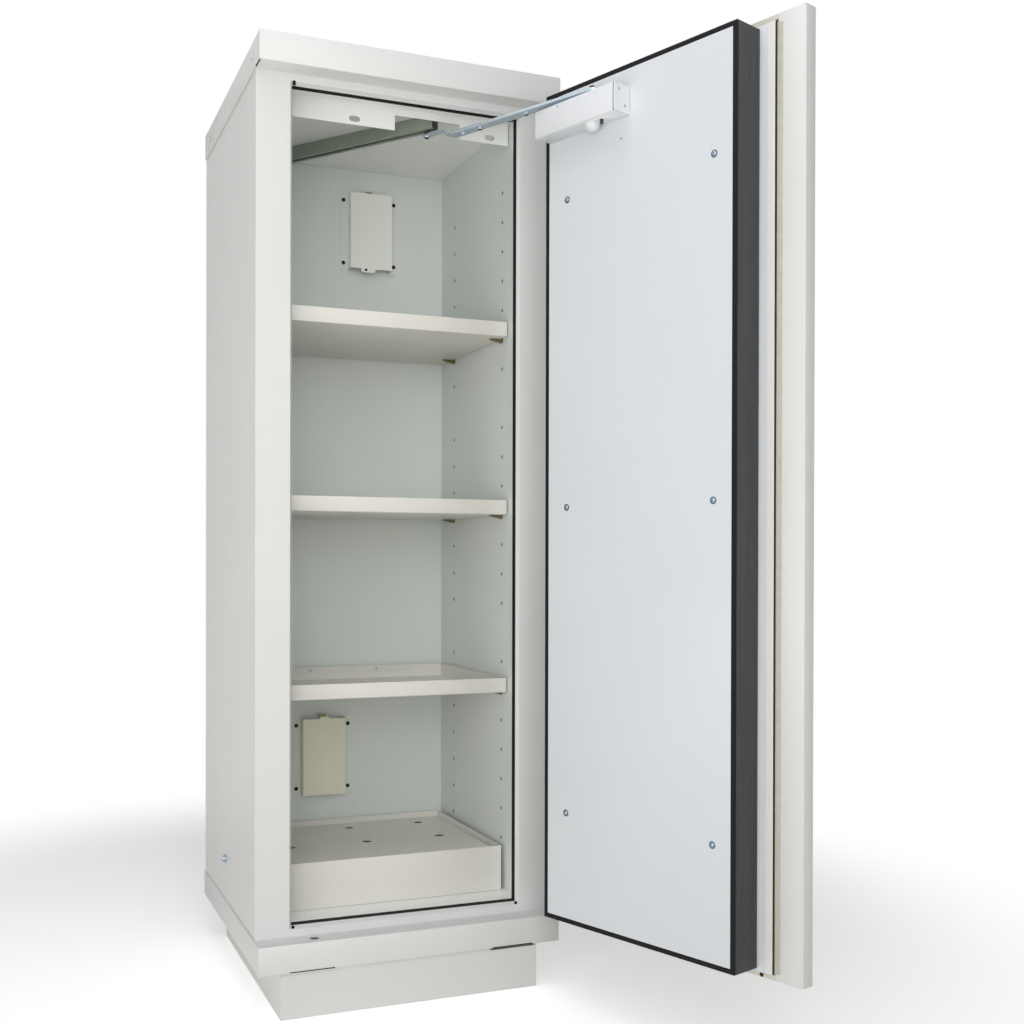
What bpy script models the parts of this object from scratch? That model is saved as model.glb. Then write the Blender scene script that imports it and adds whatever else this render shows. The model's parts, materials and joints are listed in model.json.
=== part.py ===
"""Fire-resistant storage cabinet for flammable liquids, with one right-hung door standing open.

Metres, Z up.  X runs to the right seen from the front, and Y runs from the door to the back.
The origin is the middle of the rear plinth rail, on the floor.
On the door, u runs from the hinge axis to the free edge and v from the hinge axis into the cabinet.
"""

import math

import bmesh
import bpy
from mathutils import Matrix, Vector

# Clearances that every piece shares
fit_gap = 0.0003
cut_overrun = 0.002

# Whole cabinet
cabinet_width = 0.600
cabinet_depth = 0.600
cabinet_height = 1.8007

# Plinth: a welded channel frame and a clip-on front cover
plinth_height = 0.0891
plinth_side_inset = 0.0435
plinth_rear_inset = 0.037
rail_width = 0.040
rail_sheet = 0.002
cover_setback = 0.013
cover_sheet = 0.0015
cover_return = 0.020
cover_floor_gap = 0.001
cover_notch_length = 0.099
cover_notch_depth = 0.007

# Base skirt and top cap: folded pans with a ledge in front that the door closes between
collar_sheet = 0.002
collar_edge_radius = 0.0015
skirt_height = 0.0526
skirt_ledge = 0.046
cap_height = 0.0541
cap_ledge = 0.044

# Outer skin and front frame
skin_sheet = 0.001
frame_sheet = 0.0015
stile_width = 0.0697
sill_height = 0.0193
header_height = 0.0196
lip_width = 0.005
lip_depth = 0.009
seal_seat = 0.0025
seal_depth = 0.016
frame_nose_gap = 0.003

# Inner liner and insulation
liner_sheet = 0.001
liner_side_step = 0.013
liner_ceiling_step = 0.0144
liner_floor_step = 0.002
liner_trim_reveal = 0.002
back_insulation = 0.0735

# Shelf holes in the liner sides: rows of round holes in two columns, with two rows left plain
row_pitch = 0.061
first_row_height = 0.1044
last_row_margin = 0.120
hole_radius = 0.0025
front_column_setback = 0.1098
rear_column_inset = 0.085
plain_row_shares = (0.32, 0.68)

# Shelves and the clips that carry them
shelf_row_shares = (0.23, 0.5, 0.77)
shelf_sheet = 0.0012
shelf_rim = 0.0295
shelf_side_gap = 0.003
shelf_back_gap = 0.008
shelf_front_setback = 0.0758
shelf_fold_radius = 0.0015
shelf_hole_radius = 0.0035
shelf_hole_drop = 0.008
shelf_hole_offset = 0.078
clip_length = 0.027
clip_width = 0.010
clip_tip_height = 0.002
clip_root_height = 0.0075
clip_lip = 0.004
clip_lip_sheet = 0.0012
clip_pin_radius = 0.0022

# Sump tray on the floor and its perforated insert
sump_height = 0.092
sump_sheet = 0.0015
sump_side_gap = 0.0096
sump_back_gap = 0.0056
sump_front_setback = 0.086
insert_drop = 0.013
insert_sheet = 0.0015
insert_side_gap = 0.0015
insert_hole_radius = 0.010
insert_hole_pitch_x = 0.165
insert_hole_pitch_y = 0.142
insert_holes_each_way = 3

# Vent covers on the back wall and the duct sleeves behind them
cover_box_width = 0.098
cover_box_height = 0.172
cover_box_depth = 0.027
cover_box_sheet = 0.0012
cover_flange = 0.018
cover_tab_width = 0.020
cover_tab_height = 0.005
upper_vent_offset = 0.0594
upper_vent_drop = 0.1449
lower_vent_offset = 0.0488
lower_vent_rise = 0.2375
duct_radius = 0.0375
duct_wall = 0.0015
duct_flange_radius = 0.044
duct_flange_sheet = 0.0015

# Plate under the ceiling that hides the closer rail
fascia_setback = 0.075
fascia_drop = 0.0459
fascia_sheet = 0.0015
fascia_side_gap = 0.003
fascia_flange = 0.035
fascia_cut_centre = 0.0625
fascia_cut_width = 0.137
fascia_cut_rise = 0.030
fascia_slot_length = 0.023
fascia_slot_height = 0.011
fascia_slot_rise = 0.0115
fascia_left_slot = 0.0886
fascia_right_slot_inset = 0.041

# Earth terminal on the left side
earth_height = 0.227
earth_setback = 0.298
earth_washer_radius = 0.009
earth_washer_sheet = 0.0015
earth_nut_radius = 0.0065
earth_nut_height = 0.005
earth_stud_radius = 0.003
earth_stud_length = 0.009

# Hinge pins
hinge_side_inset = 0.0075
hinge_front_inset = 0.0136
pin_radius = 0.003
pin_reach = 0.018
pin_head_radius = 0.005
pin_head_height = 0.003
door_open_angle = math.radians(109.31)

# Door: outer panel tray, backing board, insulated plug
door_free_inset = 0.0015
door_top_gap = 0.0011
door_bottom_gap = 0.0057
panel_depth = 0.0278
panel_sheet = 0.0012
panel_hinge_overhang = 0.0065
panel_hinge_lip = 0.020
panel_free_lip = 0.053
panel_edge_radius = 0.0012
board_thickness = 0.012
board_overlap = 0.0205
board_bottom_overlap = 0.002
board_top_overlap = 0.004
board_edge_radius = 0.0035
board_hole_radius = 0.003
board_hole_inset = 0.033
board_hole_drop = 0.041
plug_hinge_gap = 0.0048
plug_free_gap = 0.0089
plug_bottom_gap = 0.0056
plug_top_gap = 0.0038
core_thickness = 0.0592
core_edge_radius = 0.003
face_sheet = 0.003
band_width = 0.0086

# Door closer on the inner face
closer_hinge_inset = 0.0117
closer_length = 0.1965
closer_depth = 0.0408
closer_height = 0.0504
closer_top_drop = 0.0418
closer_edge_radius = 0.0012
spindle_inset = 0.127
spindle_radius = 0.008
spindle_neck_radius = 0.005
spindle_bore_depth = 0.012
spindle_proud = 0.002
boss_radius = 0.014
boss_height = 0.015
boss_dome_share = 0.6

# Closer arm: a flat bar and a jogged end bar riveted on it
arm_rise = 0.0056
arm_thickness = 0.005
arm_width = 0.022
arm_tail = 0.013
arm_bar_share = 0.81
arm_stud_shares = (0.37, 0.65, 0.757)
arm_end_thickness = 0.0025
arm_end_width = 0.016
arm_end_start_share = 0.617
arm_end_jog_start = 0.0551
arm_end_jog_length = 0.010
arm_end_jog_rise = 0.0107
arm_end_bend_share = 0.33
stud_radius = 0.003
stud_head_radius = 0.005
stud_head_height = 0.0035
slider_pin_radius = 0.004
rivet_head_radius = 0.0062
rivet_head_height = 0.0025

# Closer guide rail under the ceiling and the slider in it
track_start_offset = 0.072
track_start_setback = 0.106
track_front_reach = 0.020
track_end_gap = 0.0412
track_end_side_gap = 0.067415
track_width = 0.024
track_height = 0.0274
track_sheet = 0.002
track_slot = 0.010
slider_length = 0.036
slider_height = 0.010
slider_side_gap = 0.0005

# Lock case in the door, its rod and the keeper in the skirt
rod_inset = 0.0289
rod_depth = 0.0097
rod_radius = 0.0035
rod_in_case = 0.025
rod_rest_gap = 0.0003
keeper_radius = 0.009
case_height = 0.200
case_hinge_reach = 0.0127
case_back_gap = 0.0003
case_free_reach = 0.0125

# Handle and key cylinder on the outside of the door
handle_height = 1.020
handle_inset = 0.056
handle_hub_radius = 0.010
handle_neck_radius = 0.0075
handle_stand = 0.036
handle_grip_length = 0.120
handle_grip_width = 0.018
handle_grip_thickness = 0.012
handle_grip_radius = 0.005
handle_spindle_reach = 0.014
plate_width = 0.036
plate_height = 0.150
plate_thickness = 0.007
plate_edge_radius = 0.002
plate_rise_share = 0.3
key_drop = 0.060
key_plug_radius = 0.0075
key_plug_reach = 0.012
key_slot_width = 0.002
key_slot_height = 0.007
key_slot_depth = 0.006

# How round the round pieces are
fine_sides = 32
round_sides = 20
small_sides = 12
hole_sides = 8
bar_end_steps = 8
slot_end_steps = 4
dome_steps = 3
fold_segments = 2
soft_segments = 3
smooth_angle = math.radians(40)
weld_share = 0.1


# Places that follow from the sizes above
half_width = cabinet_width / 2
back_y = plinth_rear_inset + rail_width / 2
skirt_front_y = back_y - cabinet_depth
face_y = skirt_front_y + skirt_ledge
cap_front_y = face_y - cap_ledge
skirt_top = plinth_height + skirt_height
cap_bottom = cabinet_height - cap_height

carcass_half = half_width - collar_sheet - fit_gap
carcass_low = plinth_height + collar_sheet + fit_gap
carcass_high = cabinet_height - collar_sheet - fit_gap
carcass_back_y = back_y - collar_sheet - fit_gap
skin_inside = carcass_half - skin_sheet - fit_gap
board_back_y = carcass_back_y - skin_sheet - fit_gap

opening_half = carcass_half - stile_width
opening_low = skirt_top + sill_height
opening_high = cap_bottom - header_height
seal_front_y = face_y + lip_depth
seal_back_y = seal_front_y + seal_depth

liner_half = opening_half + liner_side_step
liner_low = opening_low + liner_floor_step
liner_high = opening_high + liner_ceiling_step
liner_front_y = seal_back_y + fit_gap
liner_back_y = board_back_y - back_insulation - fit_gap - liner_sheet

hinge_x = half_width - hinge_side_inset
hinge_y = cap_front_y + hinge_front_inset
door_low = skirt_top + door_bottom_gap
door_high = cap_bottom - door_top_gap
panel_front_v = -hinge_front_inset
panel_back_v = panel_front_v + panel_depth
panel_free_u = half_width + hinge_x - door_free_inset
board_front_v = panel_back_v + fit_gap
board_back_v = board_front_v + board_thickness
core_front_v = board_back_v + fit_gap
core_back_v = core_front_v + core_thickness
face_front_v = core_back_v + fit_gap
face_back_v = face_front_v + face_sheet
plug_hinge_u = hinge_x - opening_half + plug_hinge_gap
plug_free_u = hinge_x + opening_half - plug_free_gap
plug_low = opening_low + plug_bottom_gap
plug_high = opening_high - plug_top_gap

rod_u = plug_free_u - rod_inset
handle_u = panel_free_u - handle_inset
case_low = handle_height - case_height / 2 - key_drop / 2
case_high = case_low + case_height
track_high = liner_high - fit_gap
track_low = track_high - track_height
closer_start_u = plug_hinge_u + closer_hinge_inset
closer_end_u = closer_start_u + closer_length
closer_front_v = face_back_v + fit_gap
closer_back_v = closer_front_v + closer_depth
closer_top = plug_high - closer_top_drop
closer_low = closer_top - closer_height
spindle_u = closer_start_u + spindle_inset
spindle_v = (closer_front_v + closer_back_v) / 2
arm_low = closer_top + arm_rise
arm_high = arm_low + arm_thickness

upper_vent = Vector((upper_vent_offset, liner_back_y, liner_high - upper_vent_drop))
lower_vent = Vector((-lower_vent_offset, liner_back_y, liner_low + lower_vent_rise))


def door_point(u, v):
    """Where a point of the open door is in the cabinet's plan."""
    along = Vector((-math.cos(door_open_angle), -math.sin(door_open_angle)))
    inward = Vector((-math.sin(door_open_angle), math.cos(door_open_angle)))
    return Vector((hinge_x, hinge_y)) + along * u + inward * v


slider_rest = Vector((track_start_offset, face_y + track_start_setback))
track_end = Vector((track_end_side_gap - liner_half, liner_back_y - track_end_gap))
track_angle = math.atan2(track_end.y - slider_rest.y, track_end.x - slider_rest.x)
track_back_reach = (track_end - slider_rest).length
spindle_rest = door_point(spindle_u, spindle_v)
arm_reach = (slider_rest - spindle_rest).length
arm_angle = math.atan2(slider_rest.y - spindle_rest.y, slider_rest.x - spindle_rest.x)
end_low = arm_high + fit_gap
end_high = end_low + arm_end_thickness
raised_low = end_low + arm_end_jog_rise
raised_high = raised_low + arm_end_thickness


# Collections
def new_collection(name):
    """Add an empty collection to the scene."""
    collection = bpy.data.collections.new(name)
    bpy.context.scene.collection.children.link(collection)
    return collection


for old in list(bpy.data.objects):
    bpy.data.objects.remove(old, do_unlink=True)

cabinet_parts = new_collection("flammable_safety_cabinet")
cutters = new_collection("cutters")


# Materials
def linear(channel):
    """Turn one sRGB channel into its linear value."""
    if channel <= 0.04045:
        return channel / 12.92
    return ((channel + 0.055) / 1.055) ** 2.4


def make_material(name, colour, roughness, metallic=0.0):
    """Plain Principled material from an sRGB hex colour."""
    material = bpy.data.materials.new(name)
    material.use_nodes = True
    shader = material.node_tree.nodes["Principled BSDF"]
    channels = [linear(int(colour[i:i + 2], 16) / 255) for i in (0, 2, 4)]
    shader.inputs["Base Color"].default_value = (*channels, 1.0)
    shader.inputs["Roughness"].default_value = roughness
    shader.inputs["Metallic"].default_value = metallic
    return material


shell_paint = make_material("shell_paint", "DEDEDA", 0.45)
liner_paint = make_material("liner_paint", "C4C9C9", 0.5)
shelf_paint = make_material("shelf_paint", "D8D8D2", 0.5)
cream_paint = make_material("cream_paint", "C9C6BF", 0.5)
insulation_board = make_material("insulation_board", "8E8A80", 0.9)
seal_black = make_material("seal_black", "1B1A1C", 0.8)
core_foil = make_material("core_foil", "434243", 0.4)
door_liner = make_material("door_liner", "D2D7D9", 0.45)
closer_paint = make_material("closer_paint", "DADCE0", 0.4)
zinc_steel = make_material("zinc_steel", "8F9BA3", 0.35, 1.0)
rail_steel = make_material("rail_steel", "7C827A", 0.5, 0.6)
screw_steel = make_material("screw_steel", "6E7883", 0.35, 1.0)
lock_plastic = make_material("lock_plastic", "2B2C2E", 0.5)
duct_steel = make_material("duct_steel", "9A9D9A", 0.45, 1.0)


# Modelling helpers
def add_object(name, mesh, material=None, parent=None, collection=cabinet_parts):
    """Wrap a mesh in an object, give it its material and hang it on its parent."""
    made = bpy.data.objects.new(name, mesh)
    if material:
        mesh.materials.append(material)
    collection.objects.link(made)
    made.parent = parent
    return made


def mesh_from(builder):
    """Turn a bmesh into a mesh and free it."""
    mesh = bpy.data.meshes.new("mesh")
    builder.to_mesh(mesh)
    builder.free()
    return mesh


def block(name, low, high, material=None, parent=None):
    """Rectangular block between two opposite corners, with its origin at its centre."""
    low, high = Vector(low), Vector(high)
    size = [abs(high[i] - low[i]) for i in range(3)]
    builder = bmesh.new()
    bmesh.ops.create_cube(builder, size=1.0)
    bmesh.ops.scale(builder, vec=size, verts=builder.verts)
    made = add_object(name, mesh_from(builder), material, parent)
    made.location = (low + high) / 2
    return made


def rods(name, places, radius, length, axis="Z", sides=round_sides, material=None, parent=None):
    """Round bars of one length, each centred on its place and lying along one axis."""
    turns = {"X": Matrix.Rotation(math.pi / 2, 4, "Y"),
             "Y": Matrix.Rotation(math.pi / 2, 4, "X"),
             "Z": Matrix.Identity(4)}
    builder = bmesh.new()
    for place in places:
        bmesh.ops.create_cone(builder, cap_ends=True, segments=sides, radius1=radius, radius2=radius,
                              depth=length, matrix=Matrix.Translation(place) @ turns[axis])
    made = add_object(name, mesh_from(builder), material, parent)
    smooth_round(made)
    return made


def turned(name, profile, material=None, parent=None, sides=round_sides, closed=False):
    """Solid of revolution about local Z from a profile of radius and height, top to bottom."""
    builder = bmesh.new()
    points = [builder.verts.new((radius, 0, height)) for radius, height in profile]
    for first, second in zip(points, points[1:] + points[:1] if closed else points[1:]):
        builder.edges.new((first, second))
    made = add_object(name, mesh_from(builder), material, parent)
    screw = made.modifiers.new("Turn", "SCREW")
    screw.steps = sides
    screw.render_steps = sides
    screw.use_merge_vertices = True
    screw.merge_threshold = fit_gap * weld_share
    return as_mesh(made)


def smooth_round(made):
    """Shade round faces smooth and keep their edges crisp."""
    made.data.shade_smooth()
    made.data.set_sharp_from_angle(angle=smooth_angle)


def as_mesh(source):
    """Replace an object by its evaluated shape as a plain, welded mesh."""
    bpy.context.view_layer.update()
    shape = source.evaluated_get(bpy.context.evaluated_depsgraph_get())
    mesh = bpy.data.meshes.new_from_object(shape)
    builder = bmesh.new()
    builder.from_mesh(mesh)
    bmesh.ops.remove_doubles(builder, verts=builder.verts, dist=fit_gap * weld_share)
    builder.to_mesh(mesh)
    builder.free()
    name, parent, matrix = source.name, source.parent, source.matrix_world.copy()
    bpy.data.objects.remove(source, do_unlink=True)
    made = add_object(name, mesh, None, parent)
    bpy.context.view_layer.update()
    made.matrix_world = matrix
    smooth_round(made)
    return made


def flat(name, outlines, thickness, material=None, parent=None):
    """Flat plate in local XY, centred on its mid plane, from an outline and any holes in it."""
    curve = bpy.data.curves.new(name, "CURVE")
    curve.dimensions = "2D"
    curve.fill_mode = "BOTH"
    curve.extrude = thickness / 2
    for outline in outlines:
        spline = curve.splines.new("POLY")
        spline.points.add(len(outline) - 1)
        for point, (x, y) in zip(spline.points, outline):
            point.co = (x, y, 0, 1)
        spline.use_cyclic_u = True
    if material:
        curve.materials.append(material)
    made = bpy.data.objects.new(name, curve)
    cabinet_parts.objects.link(made)
    made.parent = parent
    return as_mesh(made)


def tapered_block(name, low, high, taper):
    """Block whose rear face is smaller than its front face by the taper on every side."""
    made = block(name, low, high)
    for vertex in made.data.vertices:
        if vertex.co.y > 0:
            vertex.co.x -= math.copysign(taper, vertex.co.x)
            vertex.co.z -= math.copysign(taper, vertex.co.z)
    return made


def open_box(name, low, high, missing, material=None, parent=None):
    """Surface of a box without the faces that point along the missing directions."""
    low, high = Vector(low), Vector(high)
    builder = bmesh.new()
    bmesh.ops.create_cube(builder, size=1.0)
    bmesh.ops.scale(builder, vec=high - low, verts=builder.verts)
    builder.normal_update()
    gone = [face for face in builder.faces
            if any(face.normal.dot(Vector(direction)) > 0.5 for direction in missing)]
    bmesh.ops.delete(builder, geom=gone, context="FACES")
    made = add_object(name, mesh_from(builder), material, parent)
    made.location = (low + high) / 2
    return made


def thicken(made, thickness):
    """Give an open surface its sheet thickness, inwards from the side that shows."""
    solid = made.modifiers.new("Sheet", "SOLIDIFY")
    solid.thickness = thickness
    solid.offset = -1
    solid.use_even_offset = True


def round_edges(made, radius, segments=fold_segments):
    """Round the sharp edges."""
    bevel = made.modifiers.new("Edges", "BEVEL")
    bevel.width = radius
    bevel.segments = segments
    bevel.limit_method = "ANGLE"


def combine(target, tool, operation):
    """Cut, join or trim one closed solid with another, which then serves as a hidden tool."""
    for collection in list(tool.users_collection):
        collection.objects.unlink(tool)
    cutters.objects.link(tool)
    tool.hide_render = True
    tool.display_type = "WIRE"
    step = target.modifiers.new(operation.title(), "BOOLEAN")
    step.operation = operation
    step.solver = "EXACT"
    step.object = tool


def cut(target, *tools):
    """Take the tools out of the target."""
    for tool in tools:
        combine(target, tool, "DIFFERENCE")


def unite(target, *tools):
    """Join the tools to the target as one body."""
    for tool in tools:
        combine(target, tool, "UNION")


def repeat(names, source, matrices, material):
    """Place a finished shape several times, each as its own object with the same mesh."""
    pattern = as_mesh(source)
    pattern.data.materials.append(material)
    mesh = pattern.data
    mesh.transform(pattern.matrix_world)
    bpy.data.objects.remove(pattern, do_unlink=True)
    for name, matrix in zip(names, matrices):
        made = bpy.data.objects.new(name, mesh)
        cabinet_parts.objects.link(made)
        made.matrix_world = matrix


def arc(centre, radius, start, end, steps):
    """Points along an arc, from one angle to another."""
    return [(centre[0] + radius * math.cos(start + (end - start) * i / steps),
             centre[1] + radius * math.sin(start + (end - start) * i / steps))
            for i in range(steps + 1)]


def rounded_bar(start, end, width, steps=bar_end_steps):
    """Outline of a bar along local X with half-round ends about its two end centres."""
    radius = width / 2
    return (arc((end, 0), radius, -math.pi / 2, math.pi / 2, steps)
            + arc((start, 0), radius, math.pi / 2, 3 * math.pi / 2, steps))


def circle(centre, radius, sides=round_sides):
    """Outline of a round hole."""
    return arc(centre, radius, 0, 2 * math.pi * (sides - 1) / sides, sides - 1)


def pivot(name, place, angle=0.0, parent=None):
    """Empty on a joint axis, turned about Z."""
    made = bpy.data.objects.new(name, None)
    cabinet_parts.objects.link(made)
    made.parent = parent
    made.location = place
    made.rotation_euler.z = angle
    return made


def through_sheet(sheet):
    """Length of a cutter that goes through a sheet when centred on either of its faces."""
    return 2 * (sheet + cut_overrun)


def in_door(u, v, z):
    """Place on the door, from its distance to the hinge axis, its depth and its height."""
    return Vector((u, -v, z))


# Plinth frame
def make_plinth_frame():
    """Channel frame under both sides and along the back, open at the front."""
    outer = half_width - plinth_side_inset
    front = skirt_front_y + cover_setback + cover_sheet + fit_gap
    rear = back_y - plinth_rear_inset
    top = plinth_height - fit_gap
    start = front - cut_overrun
    frame = block("plinth_frame", (-outer, front, 0), (outer, rear, top), shell_paint)
    clear = block("plinth_clear", (rail_width - outer, start, -cut_overrun),
                  (outer - rail_width, rear - rail_width, top + cut_overrun))
    hollow = block("plinth_hollow", (rail_sheet - outer, start, rail_sheet),
                   (outer - rail_sheet, rear - rail_sheet, top - rail_sheet))
    cut(frame, clear, hollow)


# Plinth cover
def make_plinth_cover():
    """Clip-on cover between the rails, lower at both ends than in the middle."""
    half = half_width - plinth_side_inset
    front = skirt_front_y + cover_setback
    top = plinth_height - fit_gap
    low = cover_floor_gap
    shoulder = top - cover_notch_depth
    step = half - cover_notch_length
    outline = [(-half, low), (half, low), (half, shoulder), (step, shoulder), (step, top),
               (-step, top), (-step, shoulder), (-half, shoulder)]
    cover = flat("plinth_cover", [outline], cover_sheet, shell_paint)
    cover.rotation_euler.x = math.pi / 2
    cover.location.y = front + cover_sheet / 2
    inside = half - rail_sheet - fit_gap
    back = front + cover_sheet + cover_return
    for name, side in (("cover_return_left", -1), ("cover_return_right", 1)):
        tab = block(name, (side * inside, front + cover_sheet / 2, low + rail_sheet + fit_gap),
                    (side * (inside - cover_sheet), back, shoulder - rail_sheet))
        unite(cover, tab)


# Base skirt and top cap
def make_collar(name, low, high, ledge_front, closed_end, ledge_end):
    """Folded pan round the carcass, with a ledge in front of the opening that takes a hinge pin."""
    made = block(name, (-half_width, ledge_front, low), (half_width, back_y, high), shell_paint)
    round_edges(made, collar_edge_radius)
    inside = half_width - collar_sheet
    rise = math.copysign(collar_sheet, ledge_end - closed_end)
    past = math.copysign(cut_overrun, rise)
    well = block(name + "_well", (-inside, face_y - fit_gap, closed_end + rise),
                 (inside, back_y - collar_sheet, ledge_end + past))
    ledge = block(name + "_ledge", (-inside, ledge_front + collar_sheet, closed_end + rise),
                  (inside, face_y, ledge_end - rise))
    pin = rods(name + "_pin_hole", [(hinge_x, hinge_y, ledge_end)], pin_radius + fit_gap,
               through_sheet(collar_sheet))
    cut(made, well, ledge, pin)
    return made


def make_skirt():
    """Base skirt: the carcass stands in it, and the lock rod enters its ledge."""
    skirt = make_collar("base_skirt", plinth_height, skirt_top, skirt_front_y, plinth_height, skirt_top)
    cut(skirt, rods("keeper", [(hinge_x - rod_u, hinge_y + rod_depth, skirt_top)], keeper_radius,
                    through_sheet(collar_sheet)))


def make_cap():
    """Top cap: closes the carcass above."""
    make_collar("top_cap", cap_bottom, cabinet_height, cap_front_y, cabinet_height, cap_bottom)


# Outer skin
def make_skin():
    """Side panels and back panel of thin steel."""
    front = face_y + frame_sheet + fit_gap
    rear = carcass_back_y - skin_sheet - fit_gap
    for name, side in (("side_panel_left", -1), ("side_panel_right", 1)):
        panel = block(name, (side * carcass_half, front, carcass_low),
                      (side * (carcass_half - skin_sheet), rear, carcass_high), shell_paint)
        if side < 0:
            stud = (skin_sheet / 2 - carcass_half, face_y + earth_setback, earth_height)
            cut(panel, rods("earth_hole", [stud], earth_stud_radius + fit_gap,
                            through_sheet(skin_sheet), "X"))
    panel = block("back_panel", (-carcass_half, carcass_back_y - skin_sheet, carcass_low),
                  (carcass_half, carcass_back_y, carcass_high), shell_paint)
    cut(panel, duct_bores("back_panel_bores"))


def duct_bores(name):
    """Cutter for both duct bores through the back of the carcass."""
    middle = (liner_back_y + carcass_back_y) / 2
    length = carcass_back_y - liner_back_y + 2 * cut_overrun
    places = [(vent.x, middle, vent.z) for vent in (upper_vent, lower_vent)]
    return rods(name, places, duct_radius + fit_gap, length, "Y", fine_sides)


# Front frame
def make_front_frame():
    """Pressed frame round the opening: face, sloping lip and the seat of the seal."""
    frame = block("front_frame", (-carcass_half, face_y, carcass_low),
                  (carcass_half, face_y + frame_sheet, carcass_high), shell_paint)
    for name, out, rear in (("lip_fold", lip_width, seal_front_y), ("seal_fold", seal_seat, seal_back_y)):
        grow = out + frame_sheet
        unite(frame, block(name, (-opening_half - grow, face_y + frame_sheet / 2, opening_low - grow),
                           (opening_half + grow, rear, opening_high + grow)))
    taper = lip_width * (lip_depth + 2 * cut_overrun) / lip_depth
    start = lip_width * (lip_depth + cut_overrun) / lip_depth
    cut(frame, tapered_block("lip_taper", (-opening_half - start, face_y - cut_overrun, opening_low - start),
                             (opening_half + start, seal_front_y + cut_overrun, opening_high + start), taper),
        block("seal_seat", (-opening_half - seal_seat, seal_front_y, opening_low - seal_seat),
              (opening_half + seal_seat, seal_back_y + cut_overrun, opening_high + seal_seat)))


def make_opening_seal():
    """Expanding fire seal in the reveal of the frame."""
    outside = seal_seat - fit_gap
    front = seal_front_y + fit_gap
    seal = block("opening_seal", (-opening_half - outside, front, opening_low - outside),
                 (opening_half + outside, seal_back_y, opening_high + outside), seal_black)
    cut(seal, block("seal_opening", (-opening_half, front - cut_overrun, opening_low),
                    (opening_half, seal_back_y + cut_overrun, opening_high)))


# Insulation
def make_insulation():
    """Boards between skin and liner, with a thicker nose behind the frame."""
    inside = liner_half + liner_sheet + fit_gap
    nose = opening_half + seal_seat + frame_sheet + frame_nose_gap
    front = face_y + frame_sheet + fit_gap
    rear = liner_back_y + liner_sheet
    floor_top = liner_low - liner_sheet - fit_gap
    ceiling = liner_high + liner_sheet + fit_gap
    nose_low = opening_low - seal_seat - frame_sheet - frame_nose_gap
    nose_high = opening_high + seal_seat + frame_sheet + frame_nose_gap
    low = floor_top + fit_gap
    for name, side in (("insulation_left", -1), ("insulation_right", 1)):
        board = block(name, (side * inside, front, low), (side * skin_inside, rear, ceiling - fit_gap),
                      insulation_board)
        unite(board, block(name + "_nose", (side * nose, front, low),
                           (side * skin_inside, seal_back_y, nose_high - fit_gap)))
    for name, wall, end, nose_end in (("insulation_bottom", carcass_low, floor_top, nose_low),
                                      ("insulation_top", carcass_high, ceiling, nose_high)):
        board = block(name, (-skin_inside, front, wall), (skin_inside, board_back_y, end), insulation_board)
        if name == "insulation_top":
            unite(board, block(name + "_nose", (-nose, front, wall), (nose, seal_back_y, nose_end)))
        else:
            cut(board, block(name + "_notch", (-nose, front - cut_overrun, nose_end),
                             (nose, liner_front_y, end + cut_overrun)))
    board = block("insulation_back", (-skin_inside, rear + fit_gap, floor_top + fit_gap),
                  (skin_inside, board_back_y, ceiling - fit_gap), insulation_board)
    cut(board, duct_bores("insulation_bores"))


# Liner
def hole_rows():
    """Heights of the rows of shelf holes, and the row numbers that have holes."""
    last = int((liner_high - last_row_margin - liner_low - first_row_height) / row_pitch)
    plain = [round(last * share) for share in plain_row_shares]
    heights = [liner_low + first_row_height + row_pitch * row for row in range(last + 1)]
    return heights, [row for row in range(last + 1) if row not in plain]


def hole_columns():
    """Depths of the two columns of shelf holes."""
    return (face_y + front_column_setback, liner_back_y - rear_column_inset)


def make_liner():
    """Painted liner: pierced sides and a bored back between the floor and the ceiling."""
    heights, rows = hole_rows()
    reveal = opening_half + liner_trim_reveal
    trim_back = liner_front_y + liner_sheet
    low = liner_low + fit_gap
    high = liner_high - fit_gap
    for name, side in (("liner_left", -1), ("liner_right", 1)):
        wall = block(name, (side * liner_half, liner_front_y, low),
                     (side * (liner_half + liner_sheet), liner_back_y - fit_gap, high), liner_paint)
        unite(wall, block(name + "_trim", (side * reveal, liner_front_y, low),
                          (side * (liner_half + liner_sheet), trim_back, high)))
        middle = side * (liner_half + liner_sheet / 2)
        places = [(middle, y, heights[row]) for row in rows for y in hole_columns()]
        cut(wall, rods(name + "_holes", places, hole_radius, through_sheet(liner_sheet), "X", hole_sides))
    width = liner_half + liner_sheet
    rear = liner_back_y + liner_sheet
    back = block("liner_back", (-width, liner_back_y, low), (width, rear, high), liner_paint)
    cut(back, duct_bores("liner_bores"))
    block("liner_floor", (-width, liner_front_y, liner_low - liner_sheet), (width, rear, liner_low),
          liner_paint)
    ceiling = block("liner_ceiling", (-width, liner_front_y, liner_high),
                    (width, rear, liner_high + liner_sheet), liner_paint)
    unite(ceiling, block("ceiling_trim", (fit_gap - reveal, liner_front_y, opening_high + liner_trim_reveal),
                         (reveal - fit_gap, trim_back, liner_high + liner_sheet / 2)))


# Shelves
def shelf_heights():
    """Heights of the undersides of the three shelves, from the rows that their clips use."""
    heights, rows = hole_rows()
    return [heights[round((len(heights) - 1) * share)] for share in shelf_row_shares]


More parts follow.
